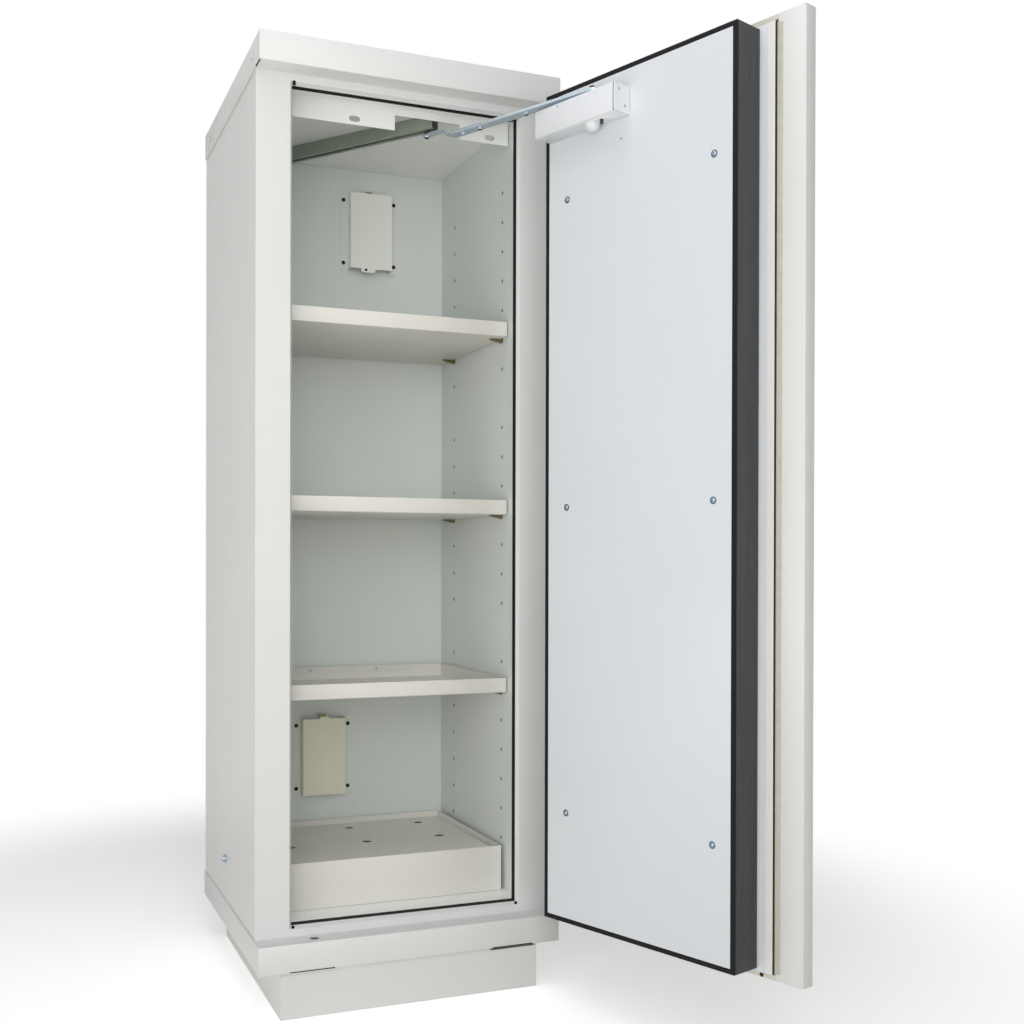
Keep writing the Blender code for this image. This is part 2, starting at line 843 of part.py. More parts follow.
def make_shelves():
    """Shallow tray shelves that lie on clips."""
    half = liner_half - shelf_side_gap
    front = face_y + shelf_front_setback
    rear = liner_back_y - shelf_back_gap
    for name, height in zip(("shelf_lower", "shelf_middle", "shelf_upper"), shelf_heights()):
        low = height + fit_gap
        shelf = open_box(name, (-half, front, low), (half, rear, low + shelf_rim), [(0, 0, 1)], shelf_paint)
        round_edges(shelf, shelf_fold_radius)
        thicken(shelf, shelf_sheet)
        places = [(side * shelf_hole_offset, rear, low + shelf_rim - shelf_hole_drop) for side in (-1, 1)]
        cut(shelf, rods(name + "_holes", places, shelf_hole_radius, through_sheet(shelf_sheet), "Y",
                        small_sides))


def make_shelf_clips():
    """Wedge clips hooked into the shelf holes, four for each shelf."""
    wall = liner_half - fit_gap
    lip = wall - clip_lip_sheet
    tip = wall - clip_length
    outline = [(tip, 0), (tip, -clip_tip_height), (lip, -clip_root_height), (wall, -clip_root_height),
               (wall, clip_lip), (lip, clip_lip), (lip, 0)]
    clip = flat("shelf_clip", [outline], clip_width)
    clip.rotation_euler.x = math.pi / 2
    reach = fit_gap + liner_sheet
    pin = rods("clip_pin", [(wall + (reach - clip_lip_sheet / 2) / 2, 0, 0)], clip_pin_radius,
               reach + clip_lip_sheet / 2, "X", hole_sides)
    unite(clip, pin)
    names = []
    matrices = []
    for level, height in zip(("lower", "middle", "upper"), shelf_heights()):
        for row, y in zip(("front", "rear"), hole_columns()):
            for side, turn in (("right", 0), ("left", math.pi)):
                names.append("clip_" + level + "_" + row + "_" + side)
                matrices.append(Matrix.Translation((0, y, height)) @ Matrix.Rotation(turn, 4, "Z"))
    repeat(names, clip, matrices, screw_steel)


# Sump
def make_sump():
    """Welded sump tray on the floor with a perforated insert standing in it."""
    half = liner_half - sump_side_gap
    front = face_y + sump_front_setback
    rear = liner_back_y - sump_back_gap
    low = liner_low + fit_gap
    tray = open_box("sump_tray", (-half, front, low), (half, rear, low + sump_height), [(0, 0, 1)],
                    shelf_paint)
    round_edges(tray, shelf_fold_radius)
    thicken(tray, sump_sheet)
    inset = sump_sheet + insert_side_gap
    base = low + sump_sheet + fit_gap
    top = low + sump_height - insert_drop
    insert = open_box("sump_insert", (-half + inset, front + inset, base), (half - inset, rear - inset, top),
                      [(0, 0, -1)], shelf_paint)
    thicken(insert, insert_sheet)
    steps = [i - (insert_holes_each_way - 1) / 2 for i in range(insert_holes_each_way)]
    middle_y = (front + rear) / 2
    places = [(i * insert_hole_pitch_x, middle_y + j * insert_hole_pitch_y, top)
              for i in steps for j in steps]
    cut(insert, rods("insert_holes", places, insert_hole_radius, through_sheet(insert_sheet)))


# Vents
def make_vent_cover(name, vent, open_end):
    """Folded hat section over a duct, open at one end where the air passes, with a stop tab."""
    half = cover_box_width / 2
    back = liner_back_y - fit_gap
    front = back - cover_box_depth
    low = vent.z - cover_box_height / 2
    high = vent.z + cover_box_height / 2
    hood = open_box(name, (vent.x - half, front, low), (vent.x + half, back, high),
                    [(0, 1, 0), (0, 0, open_end)], cream_paint)
    thicken(hood, cover_box_sheet)
    for side in (-1, 1):
        inner = vent.x + side * (half - cover_box_sheet / 2)
        outer = vent.x + side * (half + cover_flange)
        unite(hood, block(name + "_flange", (inner, back - cover_box_sheet, low), (outer, back, high)))
    end = high if open_end > 0 else low
    tab = block(name + "_tab", (vent.x - cover_tab_width / 2, front, end - open_end * cover_box_sheet),
                (vent.x + cover_tab_width / 2, front + cover_box_sheet, end + open_end * cover_tab_height))
    unite(hood, tab)


def make_duct_sleeve(name, vent):
    """Steel sleeve through the back, with a flange inside the cabinet."""
    front = liner_back_y - fit_gap
    length = carcass_back_y - front
    bore = duct_radius - duct_wall
    profile = [(bore, length), (duct_radius, length), (duct_radius, 0), (duct_flange_radius, 0),
               (duct_flange_radius, -duct_flange_sheet), (bore, -duct_flange_sheet)]
    sleeve = turned(name, profile, duct_steel, sides=fine_sides, closed=True)
    sleeve.location = (vent.x, front, vent.z)
    sleeve.rotation_euler.x = -math.pi / 2


# Fascia
def make_fascia():
    """Folded plate under the ceiling, cut out where the closer arm passes."""
    half = liner_half - fascia_side_gap
    y = face_y + fascia_setback
    top = liner_high - fit_gap
    low = liner_high - fascia_drop
    fascia = block("ceiling_fascia", (-half, y, low), (half, y + fascia_sheet, top), shelf_paint)
    unite(fascia, block("fascia_flange", (-half, y - fascia_flange, top - fascia_sheet),
                        (half, y + fascia_sheet / 2, top)))
    cut_half = fascia_cut_width / 2
    cut(fascia, block("fascia_cut", (fascia_cut_centre - cut_half, y - cut_overrun, low - cut_overrun),
                      (fascia_cut_centre + cut_half, y + fascia_sheet + cut_overrun, low + fascia_cut_rise)))
    right_slot = half - fascia_right_slot_inset
    for name, x in (("fascia_slot_left", -fascia_left_slot), ("fascia_slot_right", right_slot)):
        centre_reach = (fascia_slot_length - fascia_slot_height) / 2
        slot = flat(name, [rounded_bar(-centre_reach, centre_reach, fascia_slot_height, slot_end_steps)],
                    fascia_sheet + 2 * cut_overrun)
        slot.rotation_euler.x = math.pi / 2
        slot.location = (x, y + fascia_sheet / 2, low + fascia_slot_rise)
        cut(fascia, slot)


# Earth terminal
def make_earth_terminal():
    """Stud with a washer and a nut for the earth lead, low on the left side."""
    washer = earth_washer_sheet
    nut = washer + earth_nut_height
    profile = [(0, earth_stud_length), (earth_stud_radius, earth_stud_length), (earth_stud_radius, nut),
               (earth_nut_radius, nut), (earth_nut_radius, washer), (earth_washer_radius, washer),
               (earth_washer_radius, 0), (earth_stud_radius, 0), (earth_stud_radius, -fit_gap - skin_sheet),
               (0, -fit_gap - skin_sheet)]
    terminal = turned("earth_terminal", profile, screw_steel, sides=small_sides)
    terminal.location = (-carcass_half - fit_gap, face_y + earth_setback, earth_height)
    terminal.rotation_euler.y = -math.pi / 2


# Hinges
def make_hinge_pins():
    """Pins in the ledges of cap and skirt; the lower one has a collar that carries the door."""
    head = collar_sheet + fit_gap
    upper = turned("hinge_pin_upper",
                   [(0, head + pin_head_height), (pin_head_radius, head + pin_head_height),
                    (pin_head_radius, head), (pin_radius, head), (pin_radius, -pin_reach), (0, -pin_reach)],
                   screw_steel)
    upper.location = (hinge_x, hinge_y, cap_bottom)
    collar = door_bottom_gap - fit_gap
    lower = turned("hinge_pin_lower",
                   [(0, door_bottom_gap + pin_reach), (pin_radius, door_bottom_gap + pin_reach),
                    (pin_radius, collar), (pin_head_radius, collar), (pin_head_radius, fit_gap),
                    (pin_radius, fit_gap), (pin_radius, -head), (0, -head)],
                   screw_steel)
    lower.location = (hinge_x, hinge_y, skirt_top)


# Door panel
def make_outer_panel(door):
    """Steel tray of the door: skin, four flanges and a return lip along both long edges."""
    left = -panel_hinge_overhang
    panel = block("door_outer_panel", in_door(left, panel_front_v, door_low),
                  in_door(panel_free_u, panel_back_v, door_high), shell_paint, door)
    round_edges(panel, panel_edge_radius)
    sheet = panel_sheet
    low = door_low + sheet
    high = door_high - sheet
    cavity = block("panel_cavity", in_door(left + sheet, panel_front_v + sheet, low),
                   in_door(panel_free_u - sheet, panel_back_v - sheet, high), None, door)
    mouth = block("panel_mouth", in_door(panel_hinge_lip, panel_back_v - sheet - cut_overrun, low),
                  in_door(panel_free_u - panel_free_lip, panel_back_v + cut_overrun, high), None, door)
    ends = [in_door(0, 0, z) for z in (door_low, door_high)]
    pins = rods("panel_pin_holes", ends, pin_radius + fit_gap, through_sheet(sheet), parent=door)
    bolt = rods("panel_rod_hole", [in_door(rod_u, rod_depth, door_low)], rod_radius + fit_gap,
                through_sheet(sheet), parent=door)
    hub = rods("panel_hub_hole", [in_door(handle_u, panel_front_v, handle_height)],
               handle_neck_radius + fit_gap, through_sheet(sheet), "Y", parent=door)
    barrel = rods("panel_key_hole", [in_door(handle_u, panel_front_v, handle_height - key_drop)],
                  key_plug_radius + fit_gap, through_sheet(sheet), "Y", parent=door)
    cut(panel, cavity, mouth, pins, bolt, hub, barrel)


def make_backing_board(door):
    """Faced board behind the panel that laps over the frame all round the opening."""
    hinge_edge = hinge_x - opening_half - board_overlap
    free_edge = hinge_x + opening_half + board_overlap
    low = opening_low - board_bottom_overlap
    high = opening_high + board_top_overlap
    board = block("door_backing_board", in_door(hinge_edge, board_front_v, low),
                  in_door(free_edge, board_back_v, high), door_liner, door)
    round_edges(board, board_edge_radius, soft_segments)
    hole = in_door(free_edge - board_hole_inset, (board_front_v + board_back_v) / 2, high - board_hole_drop)
    cut(board, rods("board_hole", [hole], board_hole_radius, board_thickness + 2 * cut_overrun, "Y",
                    small_sides, parent=door))


# Door plug
def make_plug(door):
    """Insulated plug: foil-wrapped core, black edge band and the face board inside the band."""
    core = block("door_core", in_door(plug_hinge_u, core_front_v, plug_low),
                 in_door(plug_free_u, core_back_v, plug_high), core_foil, door)
    round_edges(core, core_edge_radius)
    band = block("door_seal_band", in_door(plug_hinge_u, face_front_v, plug_low),
                 in_door(plug_free_u, face_back_v, plug_high), seal_black, door)
    low = in_door(plug_hinge_u + band_width, face_front_v - cut_overrun, plug_low + band_width)
    high = in_door(plug_free_u - band_width, face_back_v + cut_overrun, plug_high - band_width)
    cut(band, block("band_opening", low, high, None, door))
    inset = band_width + fit_gap
    block("door_face_board", in_door(plug_hinge_u + inset, face_front_v, plug_low + inset),
          in_door(plug_free_u - inset, face_back_v, plug_high - inset), door_liner, door)


# Door closer
def make_closer_body(door):
    """Moulded closer housing on the face board, with the spindle's lower bearing boss."""
    body = block("closer_body", in_door(closer_start_u, closer_front_v, closer_low),
                 in_door(closer_end_u, closer_back_v, closer_top), closer_paint, door)
    round_edges(body, closer_edge_radius)
    dome = boss_height * boss_dome_share
    angles = [math.pi / 2 * step / dome_steps for step in range(dome_steps)]
    profile = [(0, closer_edge_radius), (boss_radius, closer_edge_radius)]
    profile += [(boss_radius * math.cos(angle), dome - boss_height - dome * math.sin(angle))
                for angle in angles]
    profile += [(0, -boss_height)]
    boss = turned("closer_boss", profile, None, door)
    boss.location = in_door(spindle_u, spindle_v, closer_low)
    unite(body, boss)
    bore = in_door(spindle_u, spindle_v, closer_top - spindle_bore_depth / 2 + cut_overrun / 2)
    cut(body, rods("spindle_bore", [bore], spindle_radius + fit_gap, spindle_bore_depth + cut_overrun,
                   parent=door))


def make_closer_arm(arm):
    """Arm from the closer's spindle to the slider: flat bar with studs, and the jogged bar on them."""
    proud = arm_high + spindle_proud
    shoulder = arm_low - fit_gap
    foot = closer_top - spindle_bore_depth + fit_gap
    turned("closer_spindle", [(0, proud), (spindle_neck_radius, proud), (spindle_neck_radius, shoulder),
                              (spindle_radius, shoulder), (spindle_radius, foot), (0, foot)],
           zinc_steel, arm)
    studs = [arm_reach * share for share in arm_stud_shares]
    bar = flat("closer_arm", [rounded_bar(arm_width / 2 - arm_tail, arm_reach * arm_bar_share, arm_width),
                              circle((0, 0), spindle_neck_radius + fit_gap)], arm_thickness, zinc_steel, arm)
    bar_middle = (arm_low + arm_high) / 2
    bar.location.z = bar_middle
    for number, x in enumerate(studs):
        foot = arm_low - stud_head_height
        unite(bar, rods("stud_head_" + str(number), [(x, 0, (foot + bar_middle) / 2)], stud_head_radius,
                        bar_middle - foot, parent=arm))
    for number, x in enumerate(studs[1:]):
        unite(bar, rods("stud_" + str(number), [(x, 0, (bar_middle + end_high) / 2)], stud_radius,
                        end_high - bar_middle, parent=arm))
    tip = arm_reach + arm_end_width / 2
    start = arm_reach * arm_end_start_share
    jog_start = arm_reach - arm_end_jog_start
    jog_end = jog_start + arm_end_jog_length
    bend = arm_end_thickness * arm_end_bend_share
    side_view = [(start, end_low), (jog_start, end_low), (jog_end, raised_low), (tip, raised_low),
                 (tip, raised_high), (jog_end - bend, raised_high), (jog_start - bend, end_high),
                 (start, end_high)]
    end = flat("closer_arm_end", [side_view], arm_end_width, zinc_steel, arm)
    end.rotation_euler.x = math.pi / 2
    plan = flat("arm_end_plan", [rounded_bar(start + arm_end_width / 2, arm_reach, arm_end_width),
                                 *[circle((x, 0), stud_radius + fit_gap) for x in studs[1:]]],
                raised_high - end_low + 2 * cut_overrun, None, arm)
    plan.location.z = (end_low + raised_high) / 2
    combine(end, plan, "INTERSECT")
    under = raised_low - rivet_head_height
    inside = (raised_low + raised_high) / 2
    rivet = turned("arm_rivet", [(0, inside), (rivet_head_radius, inside), (rivet_head_radius, under),
                                 (0, under)], None, arm)
    rivet.location.x = arm_reach
    unite(end, rivet)


# Closer rail
def make_track():
    """C-shaped guide rail under the ceiling, running diagonally to the back left corner."""
    half = track_width / 2
    inner = half - track_sheet
    slot = track_slot / 2
    low, high = track_low, track_high
    outline = [(-half, high), (-half, low), (-slot, low), (-slot, low + track_sheet),
               (-inner, low + track_sheet), (-inner, high - track_sheet), (inner, high - track_sheet),
               (inner, low + track_sheet), (slot, low + track_sheet), (slot, low), (half, low), (half, high)]
    rail = flat("closer_rail", [outline], track_front_reach + track_back_reach, rail_steel)
    along = Vector((math.cos(track_angle), math.sin(track_angle), 0))
    up = Vector((0, 0, 1))
    turn = Matrix((up.cross(along), up, along)).transposed().to_4x4()
    middle = slider_rest.to_3d() + along * (track_back_reach - track_front_reach) / 2
    rail.matrix_world = Matrix.Translation(middle) @ turn


def make_slider(slider):
    """Slide block in the rail with the pin that the arm turns on."""
    half = track_width / 2 - track_sheet - slider_side_gap
    low = track_low + track_sheet + fit_gap
    reach = slider_length / 2
    shoe = block("closer_slider", (-reach, -half, low), (reach, half, low + slider_height), lock_plastic,
                 slider)
    bottom = raised_high + fit_gap
    top = low + slider_height / 2
    unite(shoe, rods("slider_pin", [(0, 0, (bottom + top) / 2)], slider_pin_radius, top - bottom,
                     parent=slider))


# Lock
def make_lock_case(door):
    """Lock case in the panel, bored for the rod, the handle's spindle and the key barrel."""
    start = rod_u - case_hinge_reach
    end = handle_u + case_free_reach
    front = panel_front_v + panel_sheet + fit_gap
    back = panel_back_v - panel_sheet - case_back_gap
    case = block("lock_case", in_door(start, front, case_low), in_door(end, back, case_high),
                 lock_plastic, door)
    depth = rod_in_case + fit_gap
    bore = rods("case_rod_bore", [in_door(rod_u, rod_depth, case_low + (depth - cut_overrun) / 2)],
                rod_radius + fit_gap, depth + cut_overrun, parent=door)
    reach = handle_spindle_reach + fit_gap
    hub = rods("case_hub_bore", [in_door(handle_u, panel_front_v + reach / 2, handle_height)],
               handle_neck_radius + fit_gap, reach, "Y", parent=door)
    reach = key_plug_reach + fit_gap
    barrel = rods("case_key_bore", [in_door(handle_u, panel_front_v + reach / 2, handle_height - key_drop)],
                  key_plug_radius + fit_gap, reach, "Y", parent=door)
    cut(case, bore, hub, barrel)


def make_lock_rod(axis):
    """Round rod from the case to the door's lower end, where it drops into the skirt's keeper hole."""
    low = door_low + panel_sheet + rod_rest_gap
    high = case_low + rod_in_case
    rods("lock_rod", [(0, 0, (low + high) / 2)], rod_radius, high - low, material=zinc_steel, parent=axis)


# Handle
def make_escutcheon(door):
    """Plate behind the handle and the key barrel."""
    skin = hinge_front_inset + fit_gap
    half = plate_width / 2
    top = handle_height + plate_height * plate_rise_share
    plate = block("handle_plate", (handle_u - half, skin, top - plate_height),
                  (handle_u + half, skin + plate_thickness, top), lock_plastic, door)
    round_edges(plate, plate_edge_radius)
    middle = skin + plate_thickness / 2
    through = plate_thickness + 2 * cut_overrun
    cut(plate, rods("plate_hub_hole", [(handle_u, middle, handle_height)], handle_hub_radius + fit_gap,
                    through, "Y", parent=door),
        rods("plate_key_hole", [(handle_u, middle, handle_height - key_drop)], key_plug_radius + fit_gap,
             through, "Y", parent=door))


def make_handle(turn):
    """Lever handle: hub, spindle into the lock case and a rounded grip towards the hinge side."""
    stand = handle_stand
    seat = fit_gap
    profile = [(0, stand), (handle_hub_radius, stand), (handle_hub_radius, seat), (handle_neck_radius, seat),
               (handle_neck_radius, -handle_spindle_reach), (0, -handle_spindle_reach)]
    lever = turned("handle_lever", profile, lock_plastic, turn)
    lever.rotation_euler.x = -math.pi / 2
    half = handle_grip_width / 2
    grip = block("handle_grip", (-handle_grip_length, stand - handle_grip_thickness, -half),
                 (half, stand, half), None, turn)
    round_edges(grip, handle_grip_radius, soft_segments)
    unite(lever, grip)


def make_key_plug(turn):
    """Plug in the plate that the key turns."""
    end = plate_thickness + fit_gap
    plug = turned("key_plug", [(0, end), (key_plug_radius, end), (key_plug_radius, -key_plug_reach),
                               (0, -key_plug_reach)], zinc_steel, turn)
    plug.rotation_euler.x = -math.pi / 2
    slot = block("key_slot", (-key_slot_width / 2, end - key_slot_depth, -key_slot_height / 2),
                 (key_slot_width / 2, end + cut_overrun, key_slot_height / 2), None, turn)
    cut(plug, slot)


# Whole cabinet
def make_cabinet():
    """Put the cabinet together, from the floor up and then the door and its closer."""
    make_plinth_frame()
    make_plinth_cover()
    make_skirt()
    make_cap()
    make_skin()
    make_front_frame()
    make_opening_seal()
    make_insulation()
    make_liner()
    make_shelves()
    make_shelf_clips()
    make_sump()
    make_vent_cover("vent_cover_upper", upper_vent, -1)
    make_vent_cover("vent_cover_lower", lower_vent, 1)
    make_duct_sleeve("vent_sleeve_upper", upper_vent)
    make_duct_sleeve("vent_sleeve_lower", lower_vent)
    make_fascia()
    make_earth_terminal()
    make_hinge_pins()
    make_track()
    door = pivot("door_axis", (hinge_x, hinge_y, 0), math.pi + door_open_angle)
    make_outer_panel(door)
    make_backing_board(door)
    make_plug(door)
    make_closer_body(door)
    arm = pivot("closer_arm_axis", in_door(spindle_u, spindle_v, 0),
                arm_angle - math.pi - door_open_angle, door)
    make_closer_arm(arm)
    slider = pivot("closer_slider_axis", slider_rest.to_3d(), track_angle)
    make_slider(slider)
    make_lock_case(door)
    rod = pivot("lock_rod_axis", in_door(rod_u, rod_depth, 0), 0, door)
    make_lock_rod(rod)
    make_escutcheon(door)
    handle = pivot("handle_axis", (handle_u, hinge_front_inset, handle_height), 0, door)
    make_handle(handle)
    key = pivot("key_axis", (handle_u, hinge_front_inset, handle_height - key_drop), 0, door)
    make_key_plug(key)


make_cabinet()
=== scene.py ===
"""Looks of a safety cabinet for flammable liquids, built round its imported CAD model.

The carcass is powder-coated steel with an insulated liner, the door carries a foil-wrapped plug and a
closer. Sections follow the cabinet as it is put together. Lengths are metres unless a name says mm.
"""
import json
import math

import bmesh
import bpy
import numpy as np
from mathutils import Matrix, Vector

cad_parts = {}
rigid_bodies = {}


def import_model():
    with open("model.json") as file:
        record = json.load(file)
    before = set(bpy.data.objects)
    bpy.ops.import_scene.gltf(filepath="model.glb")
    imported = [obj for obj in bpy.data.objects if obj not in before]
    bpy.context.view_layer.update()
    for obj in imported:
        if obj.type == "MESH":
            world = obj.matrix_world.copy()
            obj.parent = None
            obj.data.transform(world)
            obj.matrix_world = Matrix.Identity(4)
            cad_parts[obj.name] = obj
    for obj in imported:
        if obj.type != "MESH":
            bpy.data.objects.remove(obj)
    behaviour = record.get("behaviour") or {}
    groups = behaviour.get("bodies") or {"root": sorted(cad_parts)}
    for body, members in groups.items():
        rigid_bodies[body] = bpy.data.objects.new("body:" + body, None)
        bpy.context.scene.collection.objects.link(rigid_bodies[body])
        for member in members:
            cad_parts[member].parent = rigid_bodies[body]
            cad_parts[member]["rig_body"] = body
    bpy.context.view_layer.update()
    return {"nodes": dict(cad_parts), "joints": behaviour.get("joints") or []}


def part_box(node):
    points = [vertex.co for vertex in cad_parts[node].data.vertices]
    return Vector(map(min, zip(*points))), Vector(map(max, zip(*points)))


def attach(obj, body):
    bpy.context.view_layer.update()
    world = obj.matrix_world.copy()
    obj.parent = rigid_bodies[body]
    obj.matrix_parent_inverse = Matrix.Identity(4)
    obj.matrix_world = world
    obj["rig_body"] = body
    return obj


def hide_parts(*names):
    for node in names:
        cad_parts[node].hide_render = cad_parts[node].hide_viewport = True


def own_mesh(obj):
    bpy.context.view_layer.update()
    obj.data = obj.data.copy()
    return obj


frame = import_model()
nodes = frame["nodes"]
scene = bpy.context.scene


# Camera: it stands in front of the cabinet and to its left, at half its height, and looks level.
# The picture is cut from the right of the lens's own middle and from above it, so the lens is shifted.
image_side = 1024
sensor = 0.036
focal_pixels = 1212.9
optical_axis_x = 472.5
optical_axis_y = 569.3
camera_place = Vector((-0.7473, -2.7165, 0.8371))
camera_yaw = math.radians(21.61)
camera_pitch = math.radians(-0.258)
camera_roll = math.radians(0.126)

camera_data = bpy.data.cameras.new("camera")
camera_data.sensor_width = sensor * 1000
camera_data.lens = camera_data.sensor_width * focal_pixels / image_side
camera_data.shift_x = (image_side / 2 - optical_axis_x) / image_side
camera_data.shift_y = (optical_axis_y - image_side / 2) / image_side
camera_data.clip_start = 0.05
camera_data.clip_end = 60
camera = bpy.data.objects.new("camera", camera_data)
scene.collection.objects.link(camera)
turn = Matrix.Rotation(-camera_yaw, 4, "Z") @ Matrix.Rotation(math.pi / 2 + camera_pitch, 4, "X")
camera.matrix_world = Matrix.Translation(camera_place) @ turn @ Matrix.Rotation(camera_roll, 4, "Z")
scene.camera = camera
scene.view_settings.view_transform = "Standard"


# Studio: a white room with a pale floor. Both are white to the camera and in gloss, and the floor keeps
# the cabinet's shadow. The light comes from soft lamps left of the camera, beside it and above it, from two
# weak ones low on the far left, from one overhead, and from the floor, whose glow grows away from the
# cabinet.
room_level = 0.03
floor_half = 9.0
near_glow = 0.10
far_glow = 0.45
shown_glow = 0.58
floor_bounce = "E8E4DC"
floor_shown = "F6F6F6"
shadow_reach = 0.9
shadow_blend = 0.9


def linear(hex_colour):
    """Linear RGBA of an sRGB hex colour such as DEDEDC."""
    shares = [int(hex_colour[i:i + 2], 16) / 255 for i in (0, 2, 4)]
    return tuple(s / 12.92 if s <= 0.04045 else ((s + 0.055) / 1.055) ** 2.4 for s in shares) + (1.0,)


def add_node(tree, kind, inputs=None, **settings):
    """Adds a node; settings are its properties, inputs are values or sockets that feed its inputs."""
    node = tree.nodes.new(kind)
    for name, value in settings.items():
        setattr(node, name, value)
    for name, value in (inputs or {}).items():
        if isinstance(value, bpy.types.NodeSocket):
            tree.links.new(value, node.inputs[name])
        else:
            node.inputs[name].default_value = value
    return node


world = bpy.data.worlds.new("white_room")
scene.world = world
world.use_nodes = True
tree = world.node_tree
tree.nodes.clear()
rays = add_node(tree, "ShaderNodeLightPath")
seen = add_node(tree, "ShaderNodeMath", {0: rays.outputs["Is Camera Ray"], 1: rays.outputs["Is Glossy Ray"]},
                operation="MAXIMUM")
seen = add_node(tree, "ShaderNodeMath", {0: seen.outputs[0], 1: rays.outputs["Is Transmission Ray"]},
                operation="MAXIMUM")
level = add_node(tree, "ShaderNodeMapRange", {"Value": seen.outputs[0], "To Min": room_level, "To Max": 1.0})
background = add_node(tree, "ShaderNodeBackground",
                      {"Color": linear("FFFFFF"), "Strength": level.outputs["Result"]})
add_node(tree, "ShaderNodeOutputWorld", {"Surface": background.outputs[0]})


def new_material(name):
    """Empty node material with its tree."""
    made = bpy.data.materials.new(name)
    made.use_nodes = True
    made.node_tree.nodes.clear()
    return made, made.node_tree


floor_mesh = bpy.data.meshes.new("floor")
corners = [(-floor_half, -floor_half, 0), (floor_half, -floor_half, 0), (floor_half, floor_half, 0),
           (-floor_half, floor_half, 0)]
floor_mesh.from_pydata(corners, [], [(0, 1, 2, 3)])
floor = bpy.data.objects.new("floor", floor_mesh)
scene.collection.objects.link(floor)
floor_paper, tree = new_material("white_floor_paper")
place = add_node(tree, "ShaderNodeTexCoord")
away = add_node(tree, "ShaderNodeVectorMath", {0: place.outputs["Object"]}, operation="LENGTH")
fade = add_node(tree, "ShaderNodeMapRange", {"Value": away.outputs["Value"], "From Min": shadow_reach,
                                             "From Max": shadow_reach + shadow_blend},
                interpolation_type="SMOOTHSTEP")
rays = add_node(tree, "ShaderNodeLightPath")
seen = add_node(tree, "ShaderNodeMath", {0: rays.outputs["Is Camera Ray"], 1: rays.outputs["Is Glossy Ray"]},
                operation="MAXIMUM")
far = add_node(tree, "ShaderNodeMath", {0: fade.outputs["Result"], 1: seen.outputs[0]}, operation="MULTIPLY")
tone = add_node(tree, "ShaderNodeMix", {0: seen.outputs[0], 6: linear(floor_bounce), 7: linear(floor_shown)},
                data_type="RGBA")
paper = add_node(tree, "ShaderNodeBsdfDiffuse", {"Color": tone.outputs[2]})
level = add_node(tree, "ShaderNodeMapRange", {"Value": fade.outputs["Result"], "To Min": near_glow,
                                              "To Max": far_glow})
level = add_node(tree, "ShaderNodeMix", {0: seen.outputs[0], 2: level.outputs["Result"], 3: shown_glow})
glow = add_node(tree, "ShaderNodeEmission", {"Color": tone.outputs[2], "Strength": level.outputs[0]})
lit = add_node(tree, "ShaderNodeAddShader", {0: paper.outputs[0], 1: glow.outputs[0]})
white = add_node(tree, "ShaderNodeEmission", {"Color": linear("FFFFFF"), "Strength": 1.0})
mixed = add_node(tree, "ShaderNodeMixShader", {0: far.outputs[0], 1: lit.outputs[0], 2: white.outputs[0]})
add_node(tree, "ShaderNodeOutputMaterial", {"Surface": mixed.outputs[0]})
floor_mesh.materials.append(floor_paper)


def lamp(name, place, target, size, watts):
    """Square soft white lamp at a place, turned to a target."""
    data = bpy.data.lights.new(name, "AREA")
    data.shape = "SQUARE"
    data.size = size
    data.energy = watts
    made = bpy.data.objects.new(name, data)
    made.location = place
    made.rotation_euler = (Vector(target) - Vector(place)).to_track_quat("-Z", "Y").to_euler()
    made.visible_camera = False
    scene.collection.objects.link(made)


cabinet_middle = (0.0, -0.4, 0.9)
lamp("left_lamp", (-1.9, -3.3, 0.95), cabinet_middle, 1.8, 21)
lamp("front_lamp", (-0.6, -4.2, 1.3), cabinet_middle, 1.8, 29)
lamp("high_lamp", (-0.9, -3.6, 3.0), cabinet_middle, 1.8, 28)
lamp("low_left_lamp", (-2.6, -2.0, 0.45), (-0.2, -0.5, 0.5), 1.2, 13)
lamp("side_lamp", (-2.2, -0.6, 0.35), (-0.3, -0.3, 0.5), 0.8, 5.0)
lamp("top_lamp", (-0.6, -1.2, 3.4), (-0.1, -0.4, 1.0), 1.4, 18)


# Steel shell: plinth, skirt, cap, side and back sheets, front frame and door tray are folded from
# steel sheet and powder coated in a light grey. The coat is satin, with a faint orange peel, and it
# rounds every fold a little.
def noise(tree, place, cell_mm, detail=2.0, roughness=0.5):
    """Noise whose cells are about that many millimetres across."""
    return add_node(tree, "ShaderNodeTexNoise",
                    {"Vector": place, "Scale": 1000.0 / cell_mm, "Detail": detail, "Roughness": roughness})


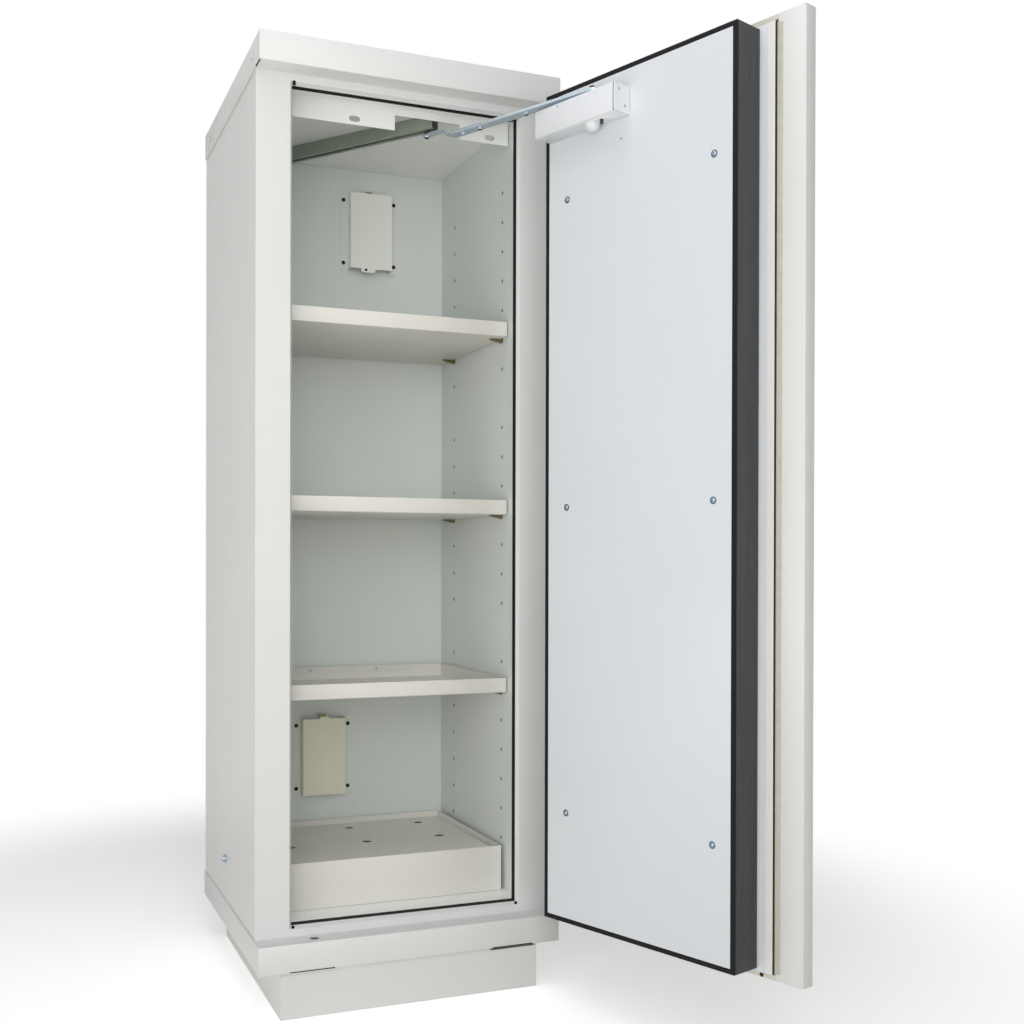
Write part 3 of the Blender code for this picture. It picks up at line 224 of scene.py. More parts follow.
def powder_coat(name, colour, shade, gloss=0.34, peel_mm=5.0, peel_height=0.00005):
    """Powder-coated steel.

    The eye sees an even satin colour that drifts slowly across a sheet, slightly cloudy gloss, and an
    orange peel. The real peel is about 1.5 mm across; it is drawn about three times as coarse to show.
    """
    made, tree = new_material(name)
    place = add_node(tree, "ShaderNodeTexCoord").outputs["Object"]
    drift = noise(tree, place, 260.0)
    fine = noise(tree, place, 2.2, 1.0)
    mix = add_node(tree, "ShaderNodeMix", {0: drift.outputs["Fac"], 6: linear(colour), 7: linear(shade)},
                   data_type="RGBA")
    speck = add_node(tree, "ShaderNodeMix", {0: 0.035, 6: mix.outputs[2], 7: fine.outputs["Color"]},
                     data_type="RGBA", blend_type="SOFT_LIGHT")
    cloud = noise(tree, place, 45.0, 3.0)
    rough = add_node(tree, "ShaderNodeMapRange", {"Value": cloud.outputs["Fac"], "To Min": gloss - 0.05,
                                                  "To Max": gloss + 0.06})
    peel = noise(tree, place, peel_mm, 1.0)
    bump = add_node(tree, "ShaderNodeBump", {"Height": peel.outputs["Fac"], "Distance": peel_height,
                                             "Strength": 1.0})
    shader = add_node(tree, "ShaderNodeBsdfPrincipled",
                      {"Base Color": speck.outputs[2], "Roughness": rough.outputs["Result"],
                       "Normal": bump.outputs["Normal"], "IOR": 1.5})
    add_node(tree, "ShaderNodeOutputMaterial", {"Surface": shader.outputs[0]})
    return made


def finish_nodes(material, *names):
    """Gives CAD nodes a finish in place of their plain one."""
    for name in names:
        mesh = nodes[name].data
        mesh.materials.clear()
        mesh.materials.append(material)


def body_name(name):
    """Body that a CAD node rides on."""
    return nodes[name]["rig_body"]


def smooth_copy(name, material, angle=40.0):
    """Copy of a formed CAD node whose triangles are joined, so that folds and turned faces shade round."""
    mesh = nodes[name].data.copy()
    work = bmesh.new()
    work.from_mesh(mesh)
    bmesh.ops.remove_doubles(work, verts=work.verts, dist=0.00002)
    bmesh.ops.dissolve_limit(work, angle_limit=math.radians(0.5), verts=work.verts, edges=work.edges)
    work.to_mesh(mesh)
    work.free()
    mesh.materials.clear()
    mesh.materials.append(material)
    mesh.polygons.foreach_set("use_smooth", np.ones(len(mesh.polygons), bool))
    mesh.set_sharp_from_angle(angle=math.radians(angle))
    made = bpy.data.objects.new(name + "_finish", mesh)
    scene.collection.objects.link(made)
    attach(made, body_name(name))
    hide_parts(name)
    return made


shell_coat = powder_coat("powder_coated_steel_light_grey", "E1E2E1", "DBDCDB")
finish_nodes(shell_coat, "side_panel_left", "side_panel_right", "back_panel", "front_frame")
for name in ("plinth_frame", "plinth_cover", "base_skirt", "top_cap", "door_outer_panel"):
    smooth_copy(name, shell_coat)


# Cap screws: two pan-head screws with a cross recess in each side of the cap. They are painted with the
# shell and sit on the sheet, with a thin dark ring round each head that is a painted shadow.
def skin(name, grids, material, body, angle=35.0):
    """Mesh over grids of points, shaped pieces, rows, columns, 3.

    Rows run along or outwards, columns run round and meet; each grid's first and last row is closed.
    """
    rows, columns = grids.shape[1:3]
    index = np.arange(grids[..., 0].size).reshape(-1, rows, columns)
    after = np.roll(index, -1, axis=2)
    quads = np.stack([index[:, :-1], after[:, :-1], after[:, 1:], index[:, 1:]], axis=-1)
    faces = quads.reshape(-1, 4).tolist() + index[:, 0, ::-1].tolist() + index[:, -1].tolist()
    mesh = bpy.data.meshes.new(name)
    mesh.from_pydata(grids.reshape(-1, 3).tolist(), [], faces)
    work = bmesh.new()
    work.from_mesh(mesh)
    bmesh.ops.remove_doubles(work, verts=work.verts, dist=0.000005)
    bmesh.ops.recalc_face_normals(work, faces=work.faces)
    work.to_mesh(mesh)
    work.free()
    mesh.materials.append(material)
    mesh.polygons.foreach_set("use_smooth", np.ones(len(mesh.polygons), bool))
    mesh.set_sharp_from_angle(angle=math.radians(angle))
    made = bpy.data.objects.new(name, mesh)
    scene.collection.objects.link(made)
    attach(made, body)
    return made


def directions(axis):
    """The axis as a unit vector, and two more square to it, the second as near to upright as it can be."""
    axis = np.array(axis, float) / np.linalg.norm(axis)
    guide = np.array([0.0, 0.0, 1.0]) if abs(axis[2]) < 0.9 else np.array([0.0, 1.0, 0.0])
    side = np.cross(guide, axis)
    side /= np.linalg.norm(side)
    return axis, side, np.cross(axis, side)


def turned(places, axis, radii, heights, steps=32):
    """Turned shapes: the pairs of radius and height are carried round an axis at each place."""
    axis, side, up = directions(axis)
    angle = np.linspace(0, 2 * np.pi, steps, endpoint=False)[:, None]
    ring = np.cos(angle) * side + np.sin(angle) * up
    shape = np.array(radii)[:, None, None] * ring + np.array(heights)[:, None, None] * axis
    return np.array(places, float)[:, None, None] + shape


def cross_heads(places, axis, radius, height, sink=0.0004, steps=48):
    """Pan heads with a cross recess, on a polar grid.

    The height falls with the fourth power of the share of the radius. Inside the two arms of the cross,
    each a soft-edged bar, it drops by a little over half the head.
    """
    axis, side, up = directions(axis)
    share = np.append(np.linspace(0, 1, 16), 1.0)[:, None]
    angle = np.linspace(0, 2 * np.pi, steps, endpoint=False)
    across = np.abs(share * np.cos(angle + 0.5))
    along = np.abs(share * np.sin(angle + 0.5))
    low, high = np.minimum(across, along), np.maximum(across, along)
    cross = np.clip((0.17 - low) / 0.06, 0, 1) * np.clip((0.62 - high) / 0.08, 0, 1)
    rise = height * (1 - share ** 4) - 0.55 * height * cross
    rise[-1] = -sink
    flat = radius * share[..., None] * (np.cos(angle)[:, None] * side + np.sin(angle)[:, None] * up)
    shape = flat + rise[..., None] * axis
    return np.array(places, float)[:, None, None] + shape


def brown_shade_finish(name):
    """Painted shade for slits, holes, crevices and screw rings, also the spindle bolt: dark brown, matt,
    with a mottle of about 3 mm.
    """
    made, tree = new_material(name)
    place = add_node(tree, "ShaderNodeTexCoord").outputs["Object"]
    mottle = noise(tree, place, 3.0, 3.0)
    mix = add_node(tree, "ShaderNodeMix",
                   {0: mottle.outputs["Fac"], 6: linear("17130F"), 7: linear("33291F")}, data_type="RGBA")
    shader = add_node(tree, "ShaderNodeBsdfPrincipled", {"Base Color": mix.outputs[2], "Roughness": 0.85})
    add_node(tree, "ShaderNodeOutputMaterial", {"Surface": shader.outputs[0]})
    return made


shade_and_bolt_brown = brown_shade_finish("painted_shade_brown_and_bolt")
cap_low, cap_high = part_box("top_cap")
cap_screw_z = 1.774
cap_screw_y = (-0.4785, -0.005)
cap_screw_radius = 0.0052
cap_screw_rise = 0.0028
shadow_ring_radii = [0, 0.0061, 0.0062]
shadow_ring_levels = [0.0003, 0.0003, -0.0002]
for side, x, axis in (("left", cap_low.x, (-1, 0, 0)), ("right", cap_high.x, (1, 0, 0))):
    places = [(x, y, cap_screw_z) for y in cap_screw_y]
    heads = cross_heads(places, axis, cap_screw_radius, cap_screw_rise)
    skin("cap_screws_" + side, heads, shell_coat, "carcass")
    shadow_rings = turned(places, axis, shadow_ring_radii, shadow_ring_levels)
    skin("cap_screw_shadow_rings_" + side, shadow_rings, shade_and_bolt_brown, "carcass")


# Folded edges: the cap's side sheets are hemmed along their lower edge and the skirt along its upper
# one, which leaves a round bead of doubled sheet that catches the light.
def bars(starts, ends, right, up, width, height, steps=10):
    """Rounded bars from start to end: an ellipse of the given width and height, square to right and up."""
    angle = np.linspace(0, 2 * np.pi, steps, endpoint=False)[:, None]
    ring = 0.5 * width * np.cos(angle) * np.array(right, float)
    ring = ring + 0.5 * height * np.sin(angle) * np.array(up, float)
    line = np.stack([np.array(starts, float), np.array(ends, float)], axis=1)
    return line[:, :, None] + ring


hem = 0.0014
hem_end_gap = 0.003
skirt_low, skirt_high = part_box("base_skirt")
hem_lines = []
for low, high, z in ((cap_low, cap_high, cap_low.z + hem / 2),
                     (skirt_low, skirt_high, skirt_high.z - hem / 2)):
    for x in (low.x, high.x):
        hem_lines.append(((x, low.y + hem_end_gap, z), (x, high.y - hem_end_gap, z)))
skin("hemmed_edges", bars(*zip(*hem_lines), (1, 0, 0), (0, 0, 1), hem, hem), shell_coat, "carcass")


# Slits: narrow punched slots. Two in the lower edge of the skirt's front let the plinth cover hook in, and
# one under each lower front corner of the cap frees its folds. Each is drawn as a thin dark plate, painted
# shade inside the slot.
def plates(places, right, up, width, height, radius, thickness, edge=0.0002, sink=0.0003, steps=6):
    """Flat plates with round corners.

    The outline is a quarter circle at each corner. It is carried through three rows: sunk behind the
    place, full size below the face, and drawn in by the edge at the face.
    """
    right, up = (np.array(v, float) / np.linalg.norm(v) for v in (right, up))
    out = np.cross(right, up)
    angle = (np.linspace(0, np.pi / 2, steps) + np.arange(4)[:, None] * np.pi / 2).ravel()
    sign = np.repeat([(1, 1), (-1, 1), (-1, -1), (1, -1)], steps, axis=0)
    corner = sign * (width / 2 - radius, height / 2 - radius)
    rows = []
    for drawn_in, level in ((0.0, -sink), (0.0, thickness - edge), (edge, thickness)):
        arc = (radius - drawn_in) * np.stack([np.cos(angle), np.sin(angle)], axis=-1)
        flat = corner + arc
        rows.append(flat[:, :1] * right + flat[:, 1:] * up + level * out)
    return np.array(places, float)[:, None, None] + np.array(rows)


rightward = (1, 0, 0)
skyward = (0, 0, 1)
slit_middle_x = 0.2
slit_length = 0.085
slit_rise = 0.0016
slit_places = [(side * slit_middle_x, skirt_low.y, skirt_low.z + slit_rise) for side in (-1, 1)]
skirt_slit_shades = plates(slit_places, rightward, skyward, slit_length, 0.0022, 0.001, 0.0002)
skin("skirt_slit_shades", skirt_slit_shades, shade_and_bolt_brown, "carcass")
corner_slit_inset = 0.0016
corner_slit_length = 0.036
corner_slit_middle = 0.021
for side, x in (("left", cap_low.x + corner_slit_inset), ("right", cap_high.x - corner_slit_inset)):
    place = (x, cap_low.y + corner_slit_middle, cap_low.z)
    slit = plates([place], rightward, (0, -1, 0), 0.0026, corner_slit_length, 0.0012, 0.0003)
    skin("cap_corner_slit_shade_" + side, slit, shade_and_bolt_brown, "carcass")


# Seal: a strip of black expanding graphite seal that sits in the reveal of the frame. Short cut ends lie
# over the frame's face at three corners.
def seal_rubber(name, colour, light):
    """Black expanding seal: soft, matt and a little dusty, with a grain of about 3 mm."""
    made, tree = new_material(name)
    place = add_node(tree, "ShaderNodeTexCoord").outputs["Object"]
    grain = noise(tree, place, 3.0, 3.0, 0.6)
    dust = noise(tree, place, 40.0, 3.0, 0.6)
    mix = add_node(tree, "ShaderNodeMix", {0: dust.outputs["Fac"], 6: linear(colour), 7: linear(light)},
                   data_type="RGBA")
    bump = add_node(tree, "ShaderNodeBump", {"Height": grain.outputs["Fac"], "Distance": 0.0003})
    shader = add_node(tree, "ShaderNodeBsdfPrincipled",
                      {"Base Color": mix.outputs[2], "Roughness": 0.75, "Specular IOR Level": 0.25,
                       "Normal": bump.outputs["Normal"]})
    add_node(tree, "ShaderNodeOutputMaterial", {"Surface": shader.outputs[0]})
    return made


def swept(paths, right, up, width, height, steps=10):
    """Rounded strips along paths: an ellipse whose width and height may change from point to point."""
    angle = np.linspace(0, 2 * np.pi, steps, endpoint=False)[:, None]
    wide = 0.5 * np.broadcast_to(width, np.shape(paths)[:2])[..., None, None]
    tall = 0.5 * np.broadcast_to(height, np.shape(paths)[:2])[..., None, None]
    ring = wide * np.cos(angle) * np.array(right, float) + tall * np.sin(angle) * np.array(up, float)
    return np.array(paths, float)[:, :, None] + ring


black_seal = seal_rubber("graphite_seal", "060607", "121113")
finish_nodes(black_seal, "opening_seal")
seal_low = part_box("opening_seal")[0]
opening_half = 0.228
opening_top = 1.727
opening_foot = 0.161
face_y = -0.497
end_width = 0.0056
end_inset = 0.0018
foot_end_z = opening_foot - 0.001
for end, side, z, height in (("upper_left", -1, opening_top + 0.0020, 0.0095),
                             ("lower_left", -1, foot_end_z, 0.006), ("lower_right", 1, foot_end_z, 0.006)):
    place = (side * (opening_half - end_inset), face_y, z)
    notch = plates([place], rightward, skyward, end_width, height, 0.0020, 0.0005)
    skin("seal_end_" + end, notch, black_seal, "carcass")
# The top strip has come loose at its right end: it sags by the square of half a sine wave, and its end
# curls out to the front with the sixth power of the way along it.
loose_start_x = 0.190
along = np.linspace(0, 1, 17)[:, None]
straight = np.array([0.0385, -0.0015, 0.0])
sag = np.array([0, 0, 0.0055])
curl = np.array([0.0035, -0.0095, 0.0035])
loose = np.array([loose_start_x, seal_low.y + 0.001, opening_top - 0.0012]) + along * straight
loose = loose - sag * np.sin(np.pi * along) ** 2 + curl * along ** 6
strip = swept([loose], (0, 1, 0), skyward, 0.0042, 0.0040)
loose_end = skin("seal_loose_end", strip, black_seal, "carcass")
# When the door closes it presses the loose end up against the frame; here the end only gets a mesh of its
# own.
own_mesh(loose_end)


# Insulation: grey mineral boards that fill the space between skin and liner. They are hardly seen: only the
# shelf holes open on to them, and the boards are drawn darker than they are, as painted shade in the holes.
def mineral_board(name):
    """Calcium silicate board: dull, chalky, with pores of a few millimetres; its dark grey is painted shade
    for the shelf holes.
    """
    made, tree = new_material(name)
    place = add_node(tree, "ShaderNodeTexCoord").outputs["Object"]
    pores = noise(tree, place, 4.0, 4.0, 0.7)
    mix = add_node(tree, "ShaderNodeMix",
                   {0: pores.outputs["Fac"], 6: linear("3A3934"), 7: linear("5C5A52")}, data_type="RGBA")
    bump = add_node(tree, "ShaderNodeBump", {"Height": pores.outputs["Fac"], "Distance": 0.0006})
    shader = add_node(tree, "ShaderNodeBsdfPrincipled",
                      {"Base Color": mix.outputs[2], "Roughness": 0.92, "Normal": bump.outputs["Normal"]})
    add_node(tree, "ShaderNodeOutputMaterial", {"Surface": shader.outputs[0]})
    return made


finish_nodes(mineral_board("mineral_board"), "insulation_left", "insulation_right", "insulation_back",
             "insulation_top", "insulation_bottom")


# Liner: five flat coated sheets. The side sheets have two columns of shelf holes each, and sides and back
# are pale grey. Ceiling and floor share a paler coat, because so little light reaches the ceiling.
liner_coat = powder_coat("coated_liner_sheet", "E3E8E5", "DDE2DF", gloss=0.4)
finish_nodes(liner_coat, "liner_left", "liner_right", "liner_back")
ceiling_coat = powder_coat("coated_ceiling_sheet", "F6F8F5", "F2F4F1", gloss=0.3)
finish_nodes(ceiling_coat, "liner_ceiling", "liner_floor")
row_count = 23
plain_rows = [5, 7, 11, 15, 17]
first_row_z = 0.2674
row_pitch = 0.061
liner_half = 0.241
hole_z = first_row_z + row_pitch * np.setdiff1d(np.arange(row_count), plain_rows)
hole_y = np.array([-0.3872, -0.1064])
# Each shelf hole gets a dark grey ring from its wall out past its edge: painted shade that makes the hole
# read dark. The upper vent's clip takes the same grey.
hole_shade_radii = [0.0023, 0.0023, 0.0035, 0.0037, 0.0023]
hole_shade_levels = [-0.0002, 0.0002, 0.0003, -0.0002, -0.0002]
hole_shade_and_clip_grey = powder_coat("punched_edge_grey", "6F7573", "636967", gloss=0.5)
for side, x, axis in (("left", -liner_half, (1, 0, 0)), ("right", liner_half, (-1, 0, 0))):
    holes = np.stack(np.broadcast_arrays(x, hole_y[:, None], hole_z), axis=-1).reshape(-1, 3)
    rings = turned(holes, axis, hole_shade_radii, hole_shade_levels, 20)
    skin("shelf_hole_shade_rings_" + side, rings, hole_shade_and_clip_grey, "carcass", angle=60)


# Shelves, sump tray and its insert: folded steel, powder coated a shade warmer than the shell. The shelves
# rest on yellow-passivated wedge clips, the tray stands on the liner's floor and the insert in the tray.
shelf_coat = powder_coat("powder_coated_steel_warm_grey", "E4E2DB", "DEDCD4")
for name in ("shelf_lower", "shelf_middle", "shelf_upper", "sump_tray", "sump_insert"):
    smooth_copy(name, shelf_coat)


def zinc_plate(name, colour, shade, rough=0.34, grain_mm=1.6, metal=1.0):
    """Zinc-plated or passivated steel: a soft cloudy gloss and a fine rolled grain."""
    made, tree = new_material(name)
    place = add_node(tree, "ShaderNodeTexCoord").outputs["Object"]
    cloud = noise(tree, place, 18.0, 3.0, 0.6)
    grain = noise(tree, place, grain_mm, 2.0)
    mix = add_node(tree, "ShaderNodeMix", {0: cloud.outputs["Fac"], 6: linear(colour), 7: linear(shade)},
                   data_type="RGBA")
    gloss = add_node(tree, "ShaderNodeMapRange", {"Value": cloud.outputs["Fac"], "To Min": rough - 0.08,
                                                  "To Max": rough + 0.1})
    bump = add_node(tree, "ShaderNodeBump", {"Height": grain.outputs["Fac"], "Distance": 0.00004})
    shader = add_node(tree, "ShaderNodeBsdfPrincipled",
                      {"Base Color": mix.outputs[2], "Roughness": gloss.outputs["Result"],
                       "Metallic": metal, "Normal": bump.outputs["Normal"]})
    add_node(tree, "ShaderNodeOutputMaterial", {"Surface": shader.outputs[0]})
    return made


zinc = zinc_plate("zinc_plated_steel", "A9B7C2", "8594A1")
dark_zinc = zinc_plate("zinc_plated_washer_blue", "66788A", "4E5F70", rough=0.3)
black_screw = zinc_plate("black_passivated_steel", "3A4040", "2B3030", rough=0.36)
passivated = zinc_plate("yellow_passivated_steel", "8E8360", "726846", rough=0.42)
for name in nodes:
    if name.startswith("clip_"):
        finish_nodes(passivated, name)


# Vents: a folded cover over each duct, in cream coated sheet, screwed to the back wall through a flange on
# each side, and a galvanised sleeve through the back. The two covers take lit and shaded copies of one coat:
# the upper a whiter one, the lower a deeper cream whose tint is a painted warm reflection of the tray below.
# A coated skin lies on each flange. Each cover has a clip on top, yellowish on the lower one, and the upper
# one has a hanging tab with a hole, drawn as a dark plate of painted shade.
white_coat = powder_coat("coated_sheet_white", "F9F9F3", "F3F3EC", gloss=0.38)
cream_coat_painted_bounce = powder_coat("coated_sheet_cream_painted_bounce", "EFEDD9", "E7E5D0", gloss=0.38)
flange_skin = 0.0003
flange = 0.0175
flange_setback = 0.0012
skin_margin = 0.0006
washer_radii = [0, 0.0043, 0.0045, 0.0045]
washer_levels = [0.0009, 0.0009, 0.0006, 0.0001]
washer_rise = 0.0009
forward = (0, -1, 0)
for level, cover_coat, screw_rise in (("upper", white_coat, (0.0205, 0.164)),
                                      ("lower", cream_coat_painted_bounce, (0.0130, 0.156))):
    cover = "vent_cover_" + level
    smooth_copy(cover, cover_coat)
    low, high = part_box(cover)
    flange_front = high.y - flange_setback
    middle_z = (low.z + high.z) / 2
    flange_middles = [(x, flange_front, middle_z) for x in (low.x + flange / 2, high.x - flange / 2)]
    skins = plates(flange_middles, rightward, skyward, flange - skin_margin, high.z - low.z - skin_margin,
                   0.002, flange_skin)
    skin("vent_flanges_" + level, skins, liner_coat, "carcass")
    screw_x = (low.x + 0.0078, high.x - 0.006)
    screws = [(x, flange_front, low.z + rise) for x in screw_x for rise in screw_rise]
    washers = turned(screws, forward, washer_radii, washer_levels)
    skin("vent_washers_" + level, washers, black_screw, "carcass")
    heads = cross_heads([(x, y - washer_rise, z) for x, y, z in screws], forward, 0.0034, 0.0018)
    skin("vent_screws_" + level, heads, black_screw, "carcass")
    middle_x = (low.x + high.x) / 2
    clip_place = (middle_x - 0.004, low.y + 0.008, high.z + 0.0010)
    clip = plates([clip_place], rightward, skyward, 0.017, 0.008, 0.003, 0.0012)
    skin("vent_clip_" + level, clip, passivated if level == "lower" else hole_shade_and_clip_grey, "carcass")
    if level == "upper":
        tab_place = (middle_x - 0.008, low.y + 0.0004, low.z + 0.0015)
        tab = plates([tab_place], rightward, skyward, 0.032, 0.010, 0.003, 0.0010)
        skin("vent_tab_upper", tab, cover_coat, "carcass")
        hole_place = (middle_x - 0.013, low.y - 0.0006, low.z + 0.0022)
        hole = plates([hole_place], rightward, skyward, 0.0065, 0.0055, 0.0026, 0.0002)
        skin("vent_tab_hole_shade_upper", hole, shade_and_bolt_brown, "carcass")
galvanised = zinc_plate("galvanised_duct", "A6A9A8", "8D908F", rough=0.45, grain_mm=6.0)
for name in ("vent_sleeve_upper", "vent_sleeve_lower"):
    smooth_copy(name, galvanised)


# Back wall plug: a low round cap on the back wall between the vents, in the lower vent's deeper cream, whose
# tint is a painted warm reflection. It stands 1.6 mm proud of the sheet.
plug_place = [(0.137, -0.0214, 0.916)]
plug_radii = [0, 0.0035, 0.0052, 0.0058, 0.0058]
plug_levels = [0.0016, 0.0015, 0.0011, 0.0004, -0.0002]
plug = turned(plug_place, forward, plug_radii, plug_levels)
skin("back_wall_plug", plug, cream_coat_painted_bounce, "carcass")


# Fascia: a coated steel plate that hangs under the ceiling in front of the closer's rail. It is a neutral
# white, lighter than the shell.
fascia_coat = powder_coat("coated_fascia_white", "F7F8F6", "F2F3F1", gloss=0.32)
finish_nodes(fascia_coat, "ceiling_fascia")


# Earth terminal and hinge pins: zinc-plated turned steel. The terminal is a stud with washer and nut low
# on the left side, and the pins sit in the ledges of cap and skirt.
for name in ("earth_terminal", "hinge_pin_upper", "hinge_pin_lower"):
    smooth_copy(name, zinc)


# Door: the steel tray and the faced board behind it. Six bluish screws with washers hold the board and the
# plug behind it, and a small dot marks the closer's drilling.
hinge_place = np.array(frame["joints"][0]["pos_m"])
outward = np.array([0.330679, -0.943743, 0.0])
inward = np.array([-0.943743, -0.330679, 0.0])
upward = np.array([0.0, 0.0, 1.0])


def on_door(points):
    """Places given on the open door, as distance from the hinge, depth into the cabinet side and height."""
    u, v, z = np.moveaxis(np.array(points, float), -1, 0)[..., None]
    return np.array([1.0, 1.0, 0.0]) * hinge_place + u * outward + v * inward + z * upward


door_facing = powder_coat("faced_board_pale_blue_grey", "DDE2E6", "D7DCE1", gloss=0.3, peel_mm=9.0,
                          peel_height=0.00003)
finish_nodes(door_facing, "door_face_board")
smooth_copy("door_backing_board", door_facing)
face_v = 0.0893
board_screws = [(u, face_v, z) for u in (0.126, 0.466) for z in (1.516, 0.943, 0.372)]
board_washer_rise = 0.0011
board_washer_levels = [board_washer_rise, board_washer_rise, 0.0008, -0.0002]
board_washers = turned(on_door(board_screws), inward, [0, 0.0060, 0.0063, 0.0063], board_washer_levels)
skin("door_board_washers", board_washers, dark_zinc, "door")
board_heads = cross_heads(on_door(board_screws) + board_washer_rise * inward, inward, 0.0045, 0.0020)
skin("door_board_screws", board_heads, zinc, "door")
mark = turned(on_door([(0.260, face_v, 1.595)]), inward, [0, 0.0020, 0.0024], [0.0006, 0.0004, -0.0002], 20)
skin("door_board_mark", mark, zinc, "door")


# Rim of the backing board: its facing is doubled on the outer half of the rim. A dark strip at the edge is
# painted shade in the crevice between board and tray, and an olive bead from the edge down to the tray is
# painted shade on the tray's lip beside the board.
rim_z = 0.945
rim_height = 1.566
rim_place = on_door([(0.5334, 0.0265, rim_z)])
rim_facing = plates(rim_place, outward, upward, 0.0142, rim_height, 0.0030, 0.0009, 0.0005)
edge_warm = powder_coat("sealed_board_edge", "EDEDEA", "E6E6E2", gloss=0.4, peel_mm=4.0)
skin("board_rim_facing", rim_facing, edge_warm, "door")
joint_place = on_door([(0.541, 0.0238, rim_z)])
joint_height = 1.568
edge_joint = plates(joint_place, -inward, upward, 0.0050, joint_height, 0.0006, 0.0003)
skin("board_edge_crevice_shade", edge_joint, shade_and_bolt_brown, "door")


def olive_painted_shade(name):
    """Painted shade drawn along a corner as a bead: olive, matt, with ripples about 12 mm long."""
    made, tree = new_material(name)
    place = add_node(tree, "ShaderNodeTexCoord").outputs["Object"]
    ripple = noise(tree, place, 12.0, 2.0)
    mix = add_node(tree, "ShaderNodeMix",
                   {0: ripple.outputs["Fac"], 6: linear("A9A899"), 7: linear("BDBCB0")}, data_type="RGBA")
    bump = add_node(tree, "ShaderNodeBump", {"Height": ripple.outputs["Fac"], "Distance": 0.0002})
    shader = add_node(tree, "ShaderNodeBsdfPrincipled",
                      {"Base Color": mix.outputs[2], "Roughness": 0.6, "Normal": bump.outputs["Normal"]})
    add_node(tree, "ShaderNodeOutputMaterial", {"Surface": shader.outputs[0]})
    return made


# The bead's section is a hollow: it falls from the joint to the tray with the square of the way.
bead_share = np.linspace(0, 1, 9)
bead_u = np.concatenate([0.5415 + 0.0075 * bead_share, [0.549, 0.5405]])
bead_v = np.concatenate([0.0139 + 0.0074 * (1 - bead_share) ** 2, [0.0137, 0.0137]])
bead_z = np.array([0.161, rim_z, 1.729])
bead = on_door(np.stack(np.broadcast_arrays(bead_u[None], bead_v[None], bead_z[:, None]), axis=-1))[None]
skin("corner_painted_shade", bead, olive_painted_shade("painted_shade_olive_bead"), "door", angle=50)


# Door plug: its core is wrapped in dark graphite foil, which is pulled round it by hand, so it has upright
# streaks and, where it is folded in at the foot, creases that fan out. A black band frames its face.
def graphite_foil(name):
    """Graphite foil: dark grey, with a dull sheen and upright rubbed streaks of some centimetres."""
    made, tree = new_material(name)
    place = add_node(tree, "ShaderNodeTexCoord").outputs["Object"]
    stretched = add_node(tree, "ShaderNodeMapping", {"Vector": place, "Scale": (1.0, 1.0, 0.03)})
    streak = noise(tree, stretched.outputs["Vector"], 7.0, 3.0, 0.6)
    rub = noise(tree, place, 60.0, 3.0, 0.6)
    tone = add_node(tree, "ShaderNodeMix",
                    {0: streak.outputs["Fac"], 6: linear("222124"), 7: linear("3E3D3F")}, data_type="RGBA")
    shade = add_node(tree, "ShaderNodeMapRange",
                     {"Value": rub.outputs["Fac"], "To Min": 0.32, "To Max": 0.52})
    bump = add_node(tree, "ShaderNodeBump", {"Height": streak.outputs["Fac"], "Distance": 0.0004})
    shader = add_node(tree, "ShaderNodeBsdfPrincipled",
                      {"Base Color": tone.outputs[2], "Roughness": shade.outputs["Result"],
                       "Normal": bump.outputs["Normal"]})
    add_node(tree, "ShaderNodeOutputMaterial", {"Surface": shader.outputs[0]})
    return made


